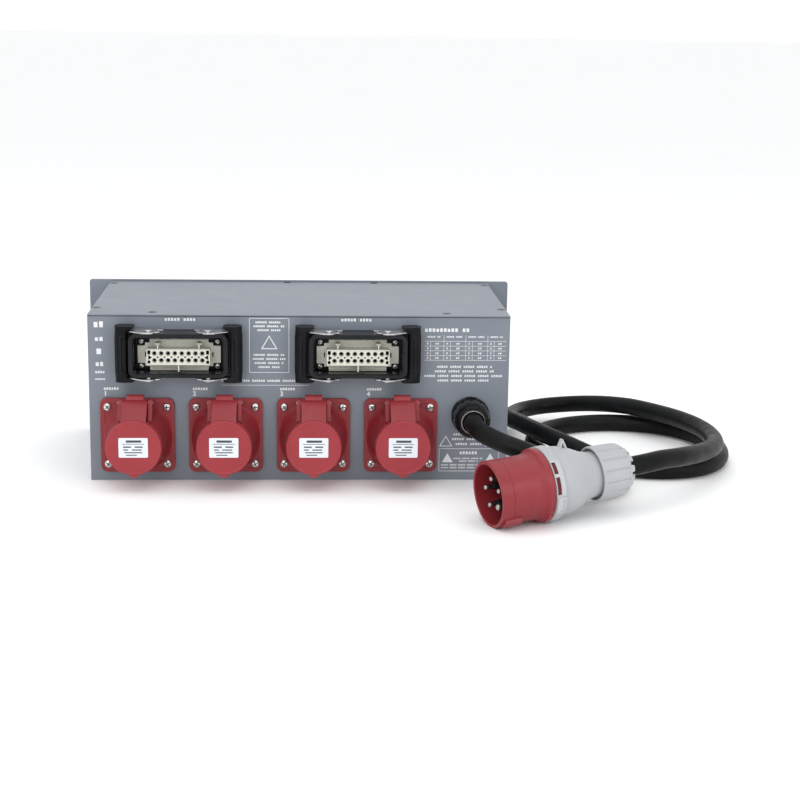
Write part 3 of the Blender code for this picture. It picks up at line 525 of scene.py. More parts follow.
def tube(name, points, radius, mat):
    curve = bpy.data.curves.new(name, "CURVE")
    curve.dimensions = "3D"
    curve.bevel_depth = radius
    curve.bevel_resolution = 7
    curve.use_fill_caps = True
    spline = curve.splines.new("POLY")
    spline.points.add(len(points) - 1)
    for point, co in zip(spline.points, points):
        point.co = (*co, 1)
    spline.use_smooth = True
    curve.materials.append(mat)
    return linked(name, curve)


def plug_place():
    """Plug pieces are drawn along +Z towards the mouth."""
    z = PLUG_AXIS
    x = Vector((0, 0, 1)).cross(z).normalized()
    turn = Matrix((x, z.cross(x), z)).transposed().to_4x4()
    return Matrix.Translation(PLUG_FLANGE) @ turn @ Matrix.Rotation(PLUG_ROLL, 4, "Z")


def ring_sector(inner, outer, low, high, start, end):
    """A curved block between two angles, in degrees, about Z."""
    rings = []
    for k in range(11):
        a = radians(start + (end - start) * k / 10)
        rings.append([(r * cos(a), r * sin(a), h)
                      for r, h in ((inner, low), (outer, low), (outer, high), (inner, high))])
    return skin(rings)


def round_spots(radius):
    """Five points around a circle; the first, for the earth contact, is at the bottom."""
    return [(radius * sin(2 * pi * k / 5), -radius * cos(2 * pi * k / 5)) for k in range(5)]


def plug_front(place):
    """The red shroud with its key and foot, the floor of its cavity, and the five sleeved pins."""
    shroud = turned([
        (29.4, 50.5), (32.2, 50.5), (32.5, 49.5), (32.5, 38.4), (31.8, 38.1), (31.8, 37.5), (32.2, 37.2),
        (32.1, 13), (32.4, 8.5), (33.6, 5), (36.0, 2.2), (36.3, 1.4), (36.3, -3.2), (35.6, -4),
        (29.4, -4)], 0.5, 2, 96)
    key = cut(plate([(-5.6, -31), (-4.6, -35.2), (4.6, -35.2), (5.6, -31)], 1, 28.5, 46.5),
              rod(29.4, 100, (0, 0, 30), sides=96))
    foot = cut(plate([(-6.5, -33), (-6.0, -37.2), (6.0, -37.2), (6.5, -33)], 1, -3.4, 2.0),
               rod(33, 20, sides=96))
    made = [piece("plug_red_shroud", merged(shroud, key, foot), RED, place=place,
                  hides=["plug_shroud"], bevel=0.35)]
    floor = 12
    base = lathe(softened([(0, floor), (27, floor), (29.1, 10.5), (29.1, -3.4), (0, -3.4)], 0.6), 96)
    rib = turned([(8.5, 11), (8.5, 17), (10, 17), (10, 11)], 0.3, 2, 48)
    # The cavity floor's dark red is partly painted shade.
    made.append(piece("plug_cavity_floor", merged(base, rib), SHADED_DARK_RED, place=place,
                      hides=["plug_pin_carrier"]))
    for k, (x, y) in enumerate(round_spots(14.8)):
        r = 2.7 if k else 3.5
        node = f"plug_pin_{k}" if k else "plug_earth_pin"
        tip = softened([(0, 47), (0.78 * r, 47), (r, 45), (r, -3), (0, -3)], 1.2, 5)
        made.append(piece(f"{node}_metal", moved(lathe(tip, 40), x, y), BRIGHT, place=place,
                          hides=[node]))
        sleeve = turned([(r + 0.05, floor), (r + 0.05, 38), (r + 0.9, 38), (r + 1.3, floor)], 0.3, 2, 40)
        made.append(piece(f"{node}_sleeve", moved(sleeve, x, y), BLACK_GRIP, place=place))
    return made


def plug():
    """Supply plug: its front, the grey body with windows, latch and lug, and the clamp nut."""
    place = plug_place()
    made = plug_front(place)

    housing = turned([
        (34, -4.3), (36.2, -4.3), (36.9, -5), (36.9, -14.2), (36.2, -15), (34.6, -15.4), (34.2, -16.4),
        (34.4, -21), (34.1, -26), (32.8, -32), (30.4, -38.5), (27.4, -45), (25, -50), (23.5, -55),
        (22.6, -60), (22.3, -66), (22.3, -90), (12, -94), (11.2, -94), (11.2, -60), (29, -20)],
        1.6, 3, 96)
    windows = ((-13, 6), (-45, -18))
    ring = cut(housing, *[ring_sector(35.9, 40, -9.4, -5.2, a, b) for a, b in windows])
    latch = cut(ring_sector(34, 38.6, -13.8, -4.6, -76, -49),
                ring_sector(38.0, 40, -12.4, -9.0, -73, -52))
    lug = cut(prism([(-25.5, 32), (-30.2, 41.2), (-31.6, 41.2), (-37.5, 27), (-30, 27)], -2.2, 2.2),
              prism([(-29.0, 33.2), (-30.8, 38.2), (-33.6, 31), (-31, 31.5)], -5, 5))
    lug = placed(sideways(lug), Matrix.Rotation(-PLUG_ROLL, 4, "Z"))
    ridges = [placed(block((1.0, 1.2, 6.5), (0, 36.6, -9.6)), Matrix.Rotation(radians(a), 4, "Z"))
              for a in (-60, 80, 150, 220)]
    made.append(piece("plug_grey_body", merged(ring, latch, lug, *ridges), GREY_PLASTIC, place=place,
                      hides=["plug_housing"], bevel=0.4))
    # Dark red seats in the windows; their darkness is partly painted shade of the recess.
    seats = [ring_sector(35.2, 36.1, -9.4, -5.2, a, b) for a, b in windows]
    made.append(piece("plug_red_windows", merged(*seats), SHADED_DARK_RED, place=place))

    def fluted(a, r, h):
        if not -92 < h < -64.5 or r < 24.8:
            return r
        wave = abs(((a * 14 / (2 * pi)) % 1.0) - 0.5) * 2
        return r - 1.3 * max(0.0, min(1.0, (wave - 0.76) / 0.14))

    nut = turned([
        (22.6, -67.5), (24.9, -66.5), (25.1, -62.4), (25.8, -61.8), (26.8, -62.2), (27.4, -63.6),
        (27.2, -66), (26.6, -86), (25.8, -91.4), (24.2, -94.6), (21.8, -96.2), (18.6, -96.8),
        (14, -96.8), (14, -94.2), (22.6, -93)], 0.7, 3, 168, fluted)
    made.append(piece("plug_grey_clamp_nut", nut, GREY_PLASTIC, place=place, hides=["plug_clamp_nut"]))
    claws = []
    for k in range(12):
        claw = skin([[(x, low, h), (x, high, h), (-x, high, h), (-x, low, h)] for x, low, high, h in
                     ((3.6, 17.4, 22.0, -95.6), (3.2, 16.8, 20.8, -99), (2.2, 15.0, 17.6, -101.8))])
        claws.append(placed(claw, Matrix.Rotation(2 * pi * k / 12, 4, "Z")))
    made.append(piece("plug_clamp_claws", merged(*claws), GREY_PLASTIC, place=place, bevel=0.35))
    seal = turned([(9.85, -72), (13.9, -72), (13.9, -97.5), (12.2, -100.5), (9.85, -100.5)], 0.8, 2, 64)
    made.append(piece("plug_cable_seal", seal, SEAL, place=place))
    return made


def gland():
    """Cable gland: hexagon on the wall, domed nut with grip flutes and the seal in its mouth."""
    at = middle("gland_nut")
    place = on_rear(at.x, at.z)

    def hexagon(a, r, h):
        if not 1.5 < h < 8.6 or r < 17:
            return r
        return min(r, 18.6 / cos((a % (pi / 3)) - pi / 6))

    body = turned([(13.6, 22), (15, 22), (15, 9.2), (20.0, 8.8), (20.2, 8.0), (20.2, 1.8), (19.6, 0.1),
                   (13.6, 0.1)], 0.6, 2, 144, hexagon)
    piece("gland_wall_body", body, BLACK_GLOSS, place=place, hides=["gland_body"])

    def flutes(a, r, h):
        if not 9.5 < h < 27 or r < 17:
            return r
        wave = 0.5 + 0.5 * cos(a * 12)
        return r - 0.7 * (wave ** 6)

    dome = turned([(10.4, 33.4), (12.2, 34), (14.4, 33.3), (16.6, 31.2), (18.2, 27.8), (19.0, 23),
                   (19.2, 11), (18.7, 9.4), (15.4, 9.4), (15.4, 22), (10.4, 27)], 1.2, 4, 144, flutes)
    piece("gland_dome_nut", dome, BLACK_GLOSS, place=place, hides=["gland_nut"])
    seal = turned([(9.85, 14), (10.3, 14), (10.3, 34.6), (9.85, 35.2)], 0.2, 2, 64)
    piece("gland_seal", seal, SEAL, place=place)
    # Partly painted highlight: a bright metal ring at the nut's mouth, standing in for the shine on the
    # glossy rim.
    lip = turned([(11.3, 33.2), (12.5, 33.2), (12.5, 34.5), (11.3, 34.5)], 0.3, 3, 72)
    piece("gland_rim_highlight_ring", lip, BRIGHT, place=place)


def cable():
    route = [tuple(c * MM for c in p) for p in CABLE_ROUTE]
    inside = Vector(route[0]) + Vector((0, INTO_GLAND, 0))
    at_plug = PLUG_FLANGE - PLUG_AXIS * INTO_PLUG
    path = [inside] + smooth_path(route) + [at_plug]
    obj = tube("supply_cable", path, CABLE_D / 2, RUBBER)
    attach(obj, ROOT)
    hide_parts("power_cable")
    with_pieces = plug()


# ---------------------------------------------------------------- shared details

def middle(node):
    low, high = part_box(node)
    return (low + high) / 2


def refined(node, mat, body=ROOT, bevel=0.5):
    """A cleaned copy of a CAD node with rounded edges, which takes the node's place."""
    bm = bmesh.new()
    bm.from_mesh(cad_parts[node].data)
    bmesh.ops.remove_doubles(bm, verts=bm.verts[:], dist=0.01 * MM)
    bmesh.ops.dissolve_limit(bm, angle_limit=radians(0.6), verts=bm.verts[:], edges=bm.edges[:])
    piece(f"{node}_finish", mesh_from(bm), mat, body, hides=[node], bevel=bevel)


def screw_head(radius, height, flat):
    """A cross-recess screw head with its seat at height zero."""
    edge = 0.9 if flat else 0.35
    crown = 0.98 if flat else 0.8
    profile = [(0, height), (0.45 * radius, 0.98 * height), (0.8 * radius, crown * height),
               (radius, edge * height), (radius, 0), (0, 0)]
    head = lathe(softened(profile, 0.15 * radius, 2), 36)
    arm = 0.24 * radius
    bars = [block((1.25 * radius, arm, height), (0, 0, height * 1.05)),
            block((arm, 1.25 * radius, height), (0, 0, height * 1.05))]
    return cut(head, *bars)


def screw_shadow(radius, height):
    """Painted shade: a dark sheet at the floor of a cross recess."""
    arm = 0.23 * radius
    return merged(block((1.22 * radius, arm, 0.1), (0, 0, height * 0.58)),
                  block((arm, 1.22 * radius, 0.1), (0, 0, height * 0.58)))


def screws(name, radius, height, spots, place, mat=ZINC, flat=False):
    """A group of equal screws, each at (right, up, out, turn in degrees), and the painted shade in each
    cross recess.
    """
    head = screw_head(radius, height, flat)
    shadow = screw_shadow(radius, height)
    heads = []
    shadows = []
    for x, y, out, turn in spots:
        at = shift(x, y, out) @ Matrix.Rotation(radians(turn), 4, "Z")
        heads.append(placed(head.copy(), at))
        shadows.append(placed(shadow.copy(), at))
    piece(name, merged(*heads), mat, place=place, slot="steel")
    # Painted shade: a dark sheet at the floor of each cross recess.
    piece(f"{name}_painted_recess_shade", merged(*shadows), SHADE_AND_JOINT_BLACK, place=place)


# ---------------------------------------------------------------- motor sockets

FLANGE_UP = 1.5
HINGE = (39.8, 22)


def socket_housing(n, place):
    """Square flange, flared neck, collar and the two lugs that hold the hinge pin."""
    bore = (29, 30)
    flange = cut(round_plate(76, 78, 7, 0.3, 5.3, y=FLANGE_UP), rod(*bore, sides=72))

    def squarish(a, r, h):
        if r < 26 or h < 3:
            return r
        power = 2 + 0.35 * max(0.0, min(1.0, (24 - h) / 20))
        return r / (abs(cos(a)) ** power + abs(sin(a)) ** power) ** (1 / power)

    neck = turned([
        (30, 1), (36, 1), (36, 4.8), (33.4, 7.4), (31.2, 12), (29.4, 18), (27.4, 27), (26.8, 28.6),
        (26.2, 30.4), (26.2, 43.5), (25.8, 44), (24.6, 44), (24.2, 43.6), (24.2, 4.3), (20.2, 4.3),
        (20.2, -34), (22.8, -34), (22.8, 1)], 0.8, 2, 96, squarish)
    outline = [(4.5, 19), (4.5, 38.3), (20, 44.3), (25, 43.4), (26.5, 39.8), (36, 24), (34, 19)]
    lugs = [moved(sideways(plate(outline, 1.2, -2.2, 2.2, 2)), side * 15.2) for side in (-1, 1)]
    step = cut(round_plate(70, 72, 5.5, 5.0, 5.75, y=FLANGE_UP),
               round_plate(66.5, 68.5, 4.2, 4, 7, y=FLANGE_UP), rod(*bore, sides=72))
    piece(f"socket_{n}_red_housing", merged(flange, step, neck, *lugs), RED, place=place,
          hides=[f"socket_{n}_housing"], bevel=0.6, segments=3)
    spots = [(x, FLANGE_UP + y, 5.2, turn) for x, y, turn in
             ((-30.3, 30.2, 38), (30.3, 30.2, 8), (-30.3, -30.2, 60), (30.3, -30.2, 25))]
    screws(f"socket_{n}_screws", 4.2, 2.6, spots, place)
    piece(f"socket_{n}_pin", rod(1.5, 36, (0, *HINGE), "X", 24, 0.35), ZINC, place=place,
          hides=[f"socket_{n}_hinge_pin"])


def socket_carrier(n, place):
    """Contact carrier with a hole in its middle, five wells and a metal sleeve in each well."""
    profile = softened([(0, 40), (18.4, 40), (19, 39.4), (19, 4.4), (19.8, 4.4), (19.8, -28), (0, -28)],
                       0.4, 2)
    spots = round_spots(12.5)
    wells = [rod(2.9 if k else 3.4, 60, (x, y, 55)) for k, (x, y) in enumerate(spots)]
    core = cut(lathe(profile), *wells, rod(3.0, 12, (0, 0, 40)))
    # The carrier's dark red is partly painted shade in the socket's mouth.
    piece(f"socket_{n}_carrier", core, SHADED_DARK_RED, place=place,
          hides=[f"socket_{n}_contact_carrier"], bevel=0.25)
    sleeve = turned([(1.7, 26), (2.5, 26), (2.5, 38), (1.7, 38)], 0.2, 2, 32)
    sleeves = [moved(sleeve.copy(), x, y) for x, y in spots]
    piece(f"socket_{n}_contact_sleeves", merged(*sleeves), BRIGHT, place=place)


def lid_arm():
    """Slightly crowned arm from the disc up to the hinge barrel."""
    front = [(24.6, 47.0), (27.5, 45.2), (31.5, 42.6), (36.0, 39.0), (43.5, 32.6), (50.0, 27.0),
             (52.6, 23.0)]
    back = [(52.6, 19.5), (46.0, 19.5), (45.6, 27.0), (42.6, 27.8), (31.0, 32.2), (23.0, 35.2),
            (18.4, 37.6), (17.4, 40.5), (18.6, 43.6)]
    rings = []
    for k in range(-6, 7):
        share = k / 6
        crown = 1.1 * (1 - share * share)
        top = [(out + crown, min(up, 43.8 + 0.2 * crown)) for out, up in front]
        rings.append([(12.6 * share, up, out) for out, up in top + back])
    return skin(rings)


def socket_lid(n, place):
    """Spring lid: disc with a faint rim, skirt, arm, finger tab, nose, seal and label."""
    body = f"socket_{n}_lid"
    cap = lathe(softened([
        (0, 53.6), (25.7, 53.6), (26.2, 54), (27.3, 54), (28.2, 53), (28.2, 42.2), (27.9, 42), (27.2, 42),
        (27, 42.3), (27, 45), (0, 45)], 0.35, 2), 96)
    tab = [(17.6, 40.5), (18.8, 48.0), (21.5, 48.4), (24.4, 47.6), (27.5, 44.6), (27, 40.5)]
    tab = sideways(plate(tab, 0.7, -8.75, 8.75, 2))
    nose = plate([(-6, -25.5), (-3.4, -31), (3.4, -31), (6, -25.5)], 0.8, 48.6, 52.6, 2)
    arm = cut(fused(lid_arm(), tab), rod(1.8, 40, (0, *HINGE), "X", 24))
    # The cap's lighter red is painted light.
    piece(f"socket_{n}_lid_cap", merged(cap, nose), LIT_LID_RED, body, place, [body], bevel=0.3)
    piece(f"socket_{n}_lid_arm", arm, RED, body, place, bevel=0.4, segments=3)
    ring = turned([(22.5, 44.15), (26.6, 44.15), (26.6, 45.1), (22.5, 45.1)], 0.2, 2, 72)
    piece(f"socket_{n}_lid_seal", ring, SEAL, body, place)
    label = round_plate(29.4, 20.4, 1.3, 53.5, 53.85, y=0.6)
    piece(f"socket_{n}_lid_label", label, LABEL, body, place, bevel=0.08)
    bars = ((15.5, 2.4, 0.5, 7.2), (22, 0.6, 0, 4.4), (8, 1.4, -6, 1.4), (8, 1.4, 5.5, 1.4),
            (5, 1.2, -7.5, -1.6), (10, 1.2, 3.5, -1.6), (18, 1.1, 0, -4.4), (11, 1.0, -2, -7))
    marks = [block((w, h, 0.06), (x, y, 53.87)) for w, h, x, y in bars]
    piece(f"socket_{n}_lid_label_marks", merged(*marks), LABEL_INK, body, place)


def sockets():
    for n in range(1, 5):
        at = middle(f"socket_{n}_contact_carrier")
        place = on_rear(at.x, at.z)
        socket_housing(n, place)
        socket_carrier(n, place)
        socket_lid(n, place)


# ---------------------------------------------------------------- rectangular connectors

PITCH = 6.9
WELLS = [((k - 3.5) * PITCH, row * 3.6) for row in (-1, 1) for k in range(8)]
CONTACT_BLOCK = (64, 16.2, 1.2)
CORNER_X = 29.6
PEG_X = 30
PEG_OUT = 22
ARM_Z = 24.2


def connector_shell(n, place):
    """Base plate, rim with a lead-in at its mouth, the gasket on the wall and the lever pegs."""
    base = round_plate(117, 45, 4.5, 0.3, 5.3)
    rim = round_plate(100, 45.2, 8, 4, 27, y=0.6)
    mouth = round_plate(90, 36.4, 4, -10, 40, y=0.4)
    lead = skin([[(x, y, 25.6) for x, y in round_rect(89.9, 36.3, 4, y=0.4)],
                 [(x, y, 28.2) for x, y in round_rect(93.6, 40.0, 5.6, y=0.4)]])
    piece(f"connector_{n}_black_shell", cut(fused(base, rim), mouth, lead), BLACK_SHELL, place=place,
          hides=[f"connector_{n}_shell"], bevel=0.7, segments=3)
    gasket = cut(round_plate(118.4, 46.4, 5, 0.05, 0.9), round_plate(112, 39, 4, -1, 2))
    piece(f"connector_{n}_wall_gasket", gasket, SEAL, place=place)
    pegs = []
    for side in (-1, 1):
        for end in (-1, 1):
            pegs.append(rod(2.6, 4.6, (side * PEG_X, end * (ARM_Z - 0.2), PEG_OUT), "Y", 28, 0.3))
            pegs.append(rod(3.9, 0.9, (side * PEG_X, end * (ARM_Z + 2), PEG_OUT), "Y", 28, 0.25))
    piece(f"connector_{n}_lever_pegs", merged(*pegs), ZINC, place=place)


def connector_insert(n, place):
    """Pale insert: stepped wings, raised contact block, keys and marks, the contacts, and the painted
    shade in its wells and holes.
    """
    place = place @ shift(y=-1.2)
    quarter = [(42.2, 9), (34.6, 9), (34.6, 12.2), (29.8, 12.2), (29.8, 16.2)]
    upper = quarter[:-1] + [(29.8, 18.0)]
    outline = upper + [(-x, y) for x, y in reversed(upper)]
    outline += [(-x, -y) for x, y in quarter] + [(x, -y) for x, y in reversed(quarter)]
    body = plate(outline, 0.9, -18, 8)
    rim = cut(round_plate(*CONTACT_BLOCK, 22.8, 23.4), round_plate(62.4, 14.6, 0.8, 22, 25))
    well = lathe([(0, 24), (2.65, 24), (2.65, 22.9), (1.95, 20.4), (1.95, 11), (0, 11)], 28)
    wells = [moved(well.copy(), x, y) for x, y in WELLS]
    corners = []
    posts = []
    # Painted shade: dark discs at the bottoms of the wells and dark blocks in the corner holes; with them
    # dark dots, triangle marks and wing slots.
    dark = [rod(1.2, 0.4, (x, y, 18.9), sides=20) for x, y in WELLS]
    dark += [rod(0.92, 0.3, ((k - 3) * PITCH, 0, 23.0), sides=14) for k in range(7)]
    for side in (-1, 1):
        corners.append(block((3.2, 4.4, 8), (side * CORNER_X, 4.7, 22)))
        corners.append(block((3.0, 3.4, 8), (side * CORNER_X, -5.2, 22)))
        posts.append(block((1.3, 5.4, 12), (side * 20.8, 10.9, 15)))
        posts.append(block((4.0, 1.3, 12), (side * 20.8, 13.2, 15)))
        dark.append(prism([(side * 30.2, 2.1), (side * 30.2, -2.9), (side * 26.4, -0.3)], 22.9, 23.15))
        dark.append(block((3.0, 4.2, 0.4), (side * CORNER_X, 4.7, 19)))
        dark.append(block((2.8, 3.2, 0.4), (side * CORNER_X, -5.2, 19)))
        dark.append(round_plate(1.2, 5.0, 0.4, 7.9, 8.12, x=side * 34.2))
    top = cut(round_plate(*CONTACT_BLOCK, 6, 23), *wells, *corners)
    posts.append(block((1.4, 7.0, 12), (0, -11.9, 15)))
    ledges = [block((59.2, 1.1, 3.2), (0, side * 15.5, 9)) for side in (-1, 1)]
    piece(f"connector_{n}_pale_insert", merged(body, top, rim, *posts, *ledges), IVORY, place=place,
          hides=[f"connector_{n}_insert"], bevel=0.3)
    funnel = turned([(1.92, 20.6), (1.7, 20.6), (1.2, 19.2), (1.2, 12), (1.92, 12)], 0.12, 2, 28)
    contacts = [moved(funnel.copy(), x, y) for x, y in WELLS]
    piece(f"connector_{n}_contacts", merged(*contacts), BRIGHT, place=place)
    piece(f"connector_{n}_insert_shadows", merged(*dark), SHADE_AND_JOINT_BLACK, place=place)
    spots = [(x * 39, y * 13, 3.6, 20 + 30 * x * y) for x in (-1, 1) for y in (-1, 1)]
    screws(f"connector_{n}_insert_screws", 3.3, 2.4, spots, place)
    floor = cut(round_plate(89.6, 36.0, 3.8, 1.6, 3.4, y=1.6), prism(outline, 0, 5))
    piece(f"connector_{n}_shell_floor", floor, BLACK_GRIP, place=place)


def lever(n, word, side):
    """Stamped bracket of two plates and a web, and its grip; drawn as a left lever."""
    body = f"connector_{n}_{word}_lever"
    at = middle(f"connector_{n}_insert")
    pivot = Matrix.Translation((at.x, REAR_Y, at.z)) @ shift(side * PEG_X, -PEG_OUT)
    place = pivot @ Matrix.Diagonal((-side, 1, 1, 1))
    outline = [
        (-6, -7.6), (1.5, -8.4), (5.5, -6.0), (6.0, -3.4), (11.5, -1.0), (12.5, 2.5), (9.5, 3.4),
        (6.5, 1.0), (4.6, 4.2), (8.5, 10), (14.5, 11.5), (14.5, 14.5), (6, 15.5), (-8, 16.5),
        (-25.6, 16.5), (-25.6, 6.5), (-16, 0)]
    ridge = [(-17.5, 6.0), (-12, 1.9), (-5.5, -4.4), (-4.5, -3.2), (-11.5, 3.4), (-17.5, 7.6)]
    parts = []
    for end in (-1, 1):
        z = end * ARM_Z
        parts.append(plate(outline, 1.0, z - 0.7, z + 0.7))
        face = z + end * 0.9
        parts.append(plate(ridge, 0.6, face - 0.35, face + 0.35, 2))
    parts.append(block((1.2, 5.4, 50.0), (-25.0, 11.6, 0)))
    bracket = cut(merged(*parts), rod(2.9, 80))
    piece(f"{body}_bracket", bracket, STAINLESS, body, place, [body], bevel=0.3)

    levels = [(-1.0, 0.96, 16.6), (-0.985, 1.02, 15.4), (-0.95, 1.07, 14.6), (-0.915, 1.07, 15.6),
              (-0.87, 1.05, 19.6), (-0.83, 1.02, 21.8), (-0.74, 1.0, 22.1), (-0.68, 0.88, 22.1),
              (-0.58, 0.85, 22.1), (-0.2, 0.83, 22.1)]
    levels += [(-t, grow, inner) for t, grow, inner in reversed(levels)]
    near = -26.1
    rings = []
    for t, grow, inner in levels:
        far = [-22.1 - reach * (1.12 - 0.2 * grow) for reach in (10.0, 13.4, 13.0, 9.0)]
        ring = [(-inner, 0.5 * grow), (-inner, 16.0 * grow), (near, 17.2 * grow), (far[0], 16.4 * grow),
                (far[1], 10.5), (far[2], 3.5), (far[3], 0.2 * grow), (near, -0.6 * grow)]
        rings.append([(x, y, 0.9 + t * 29.0) for x, y in softened(ring, 1.6, 3, closed=True)])
    grooves = [block((1.1, 30, 36), (x, -13.6, 0)) for x in (-27, -31)]
    piece(f"{body}_grip_cover", cut(skin(rings), *grooves), BLACK_GRIP, body, place,
          [f"connector_{n}_{word}_grip"], bevel=0.5, segments=3)


def connectors():
    for n in (1, 2):
        at = middle(f"connector_{n}_insert")
        place = on_rear(at.x, at.z)
        connector_shell(n, place)
        connector_insert(n, place)
        lever(n, "left", -1)
        lever(n, "right", 1)


# ---------------------------------------------------------------- the case

COVER_SCREWS = ((-212, -72.5), (-212, 94), (-152, -99), (152, -99), (212, -72.5), (212, 94),
                (-15, 105), (85, 105))
SIDE_SCREWS = ((-85, 40), (-85, 140), (10, 40), (10, 140), (88, 40), (88, 140))


def case():
    """Sheet-metal case with soft folds, cover screws on washers, a dark strip of painted shade in the
    cover's seam, and side screws.
    """
    refined("chassis_tray", PAINT, bevel=0.8)
    # The cover's darker paint is painted shade.
    refined("top_cover", SHADED_COVER_PAINT, bevel=0.45)
    refined("rear_panel", PAINT, bevel=0.2)
    refined("front_panel", PAINT, bevel=0.9)
    on_top = Matrix.Translation((0, 0, CASE_TOP))
    spots = [(x, y, -0.75, 15 + 7 * k) for k, (x, y) in enumerate(COVER_SCREWS)]
    screws("cover_screws", 3.6, 0.95, spots, on_top, BLACK_SHELL, flat=True)
    ring = turned([(3.6, 0.03), (4.3, 0.12), (4.8, 0.02), (4.8, -0.4), (3.6, -0.4)], 0.1, 2, 32)
    washers = [moved(ring.copy(), x, y) for x, y in COVER_SCREWS]
    piece("cover_screw_washers", merged(*washers), BLACK_SHELL, place=on_top)
    # Painted shade: a thin dark rubber strip under the front edge of the cover stands in for the shade in
    # the seam.
    seam = block((2 * HALF_W / MM - 0.6, 0.5, 0.8), (0, REAR_Y / MM + 0.13, -1.75))
    piece("cover_seam_painted_shade", seam, SEAL, place=on_top, bevel=0.1)
    for word, side in (("left", -1), ("right", 1)):
        turn = Matrix.Rotation(side * pi / 2, 4, "Z") @ QUARTER
        place = Matrix.Translation((side * HALF_W, 0, 0)) @ turn
        spots = [(side * y, z, 0.0, 10 + 9 * k) for k, (y, z) in enumerate(SIDE_SCREWS)]
        screws(f"{word}_side_screws", 3.3, 1.7, spots, place, DARK_STEEL)


# ---------------------------------------------------------------- printing, as plain marks

def mark(x, y, width, height, out=0.0):
    return block((width, height, 0.12), (x, y, out + 0.02))


def bar(x0, x1, z0, z1):
    return mark((x0 + x1) / 2, (z0 + z1) / 2, x1 - x0, z1 - z0)


def dashes(x0, x1, z, height, word=6):
    """A row of small marks that stands for a line of print."""
    count = max(1, round((x1 - x0) / (1.02 * height)))
    pitch = (x1 - x0) / count
    marks = []
    for k in range(count):
        if k % (word + 1) == word:
            continue
        left = x0 + k * pitch
        high = height / 2 if k % 3 else height * 0.38
        marks.append(bar(left, left + 0.70 * pitch, z - height / 2, z + high))
    return marks


def centred(x, rows, word=6):
    """Lines of print centred on x, each given by its place, height and half length."""
    marks = []
    for z, height, half in rows:
        marks += dashes(x - half, x + half, z, height, word)
    return marks


def frame_lines(x0, x1, z0, z1, line=0.55):
    return [bar(x0, x1, z1 - line, z1), bar(x0, x1, z0, z0 + line), bar(x0, x0 + line, z0, z1),
            bar(x1 - line, x1, z0, z1)]


def triangle(x, z, width, height, line=None):
    """A triangle with its point up, as an outline of a given line width or filled."""
    half = width / 2
    mesh = prism([(x - half, z), (x + half, z), (x, z + height)], -0.04, 0.08)
    if line is None:
        return mesh
    inner = [(x - half + 1.9 * line, z + line), (x + half - 1.9 * line, z + line),
             (x, z + height - 2.1 * line)]
    return cut(mesh, prism(inner, -1, 1))


def numeral(value, x, z, size):
    """A digit from Blender's own font, centred on a point."""
    curve = bpy.data.curves.new("digit", "FONT")
    curve.body = str(value)
    curve.size = size * MM
    curve.extrude = 0.06 * MM
    curve.offset = 0.22 * MM
    curve.align_x = "CENTER"
    curve.align_y = "CENTER"
    return moved(evaluated(linked("digit", curve)), x, z, 0.02)


def socket_print():
    marks = []
    for n, x in enumerate((-200.4, -109.2, -19.3, 70.6), 1):
        marks += dashes(x - 1.4, x + 14.4, 97.5, 2.7, word=9)
        marks.append(numeral(n, x + 0.2, 92.2, 6.6))
    return marks


def panel_print():
    """Captions, and the framed block with its triangle between the connectors."""
    marks = dashes(-138.5, -106.5, 170.1, 3.0, word=5)
    marks += dashes(42.0, 74.0, 170.4, 3.0, word=5)
    marks += centred(-205, ((164.6, 6.2, 5.5), (149.4, 4.2, 4.6), (136.9, 6.6, 3.4), (123.3, 4.4, 4.4),
                            (114.9, 2.6, 5.0), (107.5, 1.8, 5.2)), word=7)
    marks += frame_lines(-52.5, -11.5, 114.7, 171.9)
    marks += centred(-32, ((167.5, 2.0, 14), (163.4, 2.0, 16), (159.3, 2.0, 12)))
    marks.append(triangle(-32, 139.5, 17, 14.5, 0.9))
    marks += centred(-32, ((133.5, 2.0, 16), (129.2, 2.0, 17), (124.9, 2.0, 15), (120.6, 2.0, 11)))
    marks += dashes(-81, 9, 106.2, 2.2)
    marks.append(bar(-81, 9, 101.2, 101.7))
    return marks


def table_print():
    """A ruled table with dashes for its entries, and the lines of print under it."""
    left_edge, right_edge, low_edge = 128.6, 213.4, 128.5
    marks = dashes(left_edge, 175.5, 160.2, 3.7, word=9)
    for z in (148.5, 143.4, 138.5, 133.4, low_edge):
        marks.append(bar(left_edge, right_edge, z - 0.2, z + 0.2))
    for x in (148.5, 171.2, 194.1):
        marks.append(bar(x - 0.2, x + 0.2, low_edge, 154.8))
    for x in (134.7, 155.3, 178.2, 200.8):
        marks.append(bar(x - 0.2, x + 0.2, low_edge, 148.5))
    for left, split, right in ((left_edge, 134.7, 148.5), (148.5, 155.3, 171.2),
                               (171.2, 178.2, 194.1), (194.1, 200.8, right_edge)):
        marks += dashes(left + 2.5, right - 3.5, 153.2, 1.7, word=5)
        for z in (146.0, 141.0, 135.9, 130.9):
            marks.append(mark((left + split) / 2, z, 1.4, 1.6))
            marks += centred((split + right) / 2, ((z, 1.7, 2.0),))
    marks += centred(170.7, ((121.6, 2.3, 29), (116.8, 2.3, 31), (111.9, 2.3, 42), (107.1, 2.3, 28)),
                     word=5)
    return marks


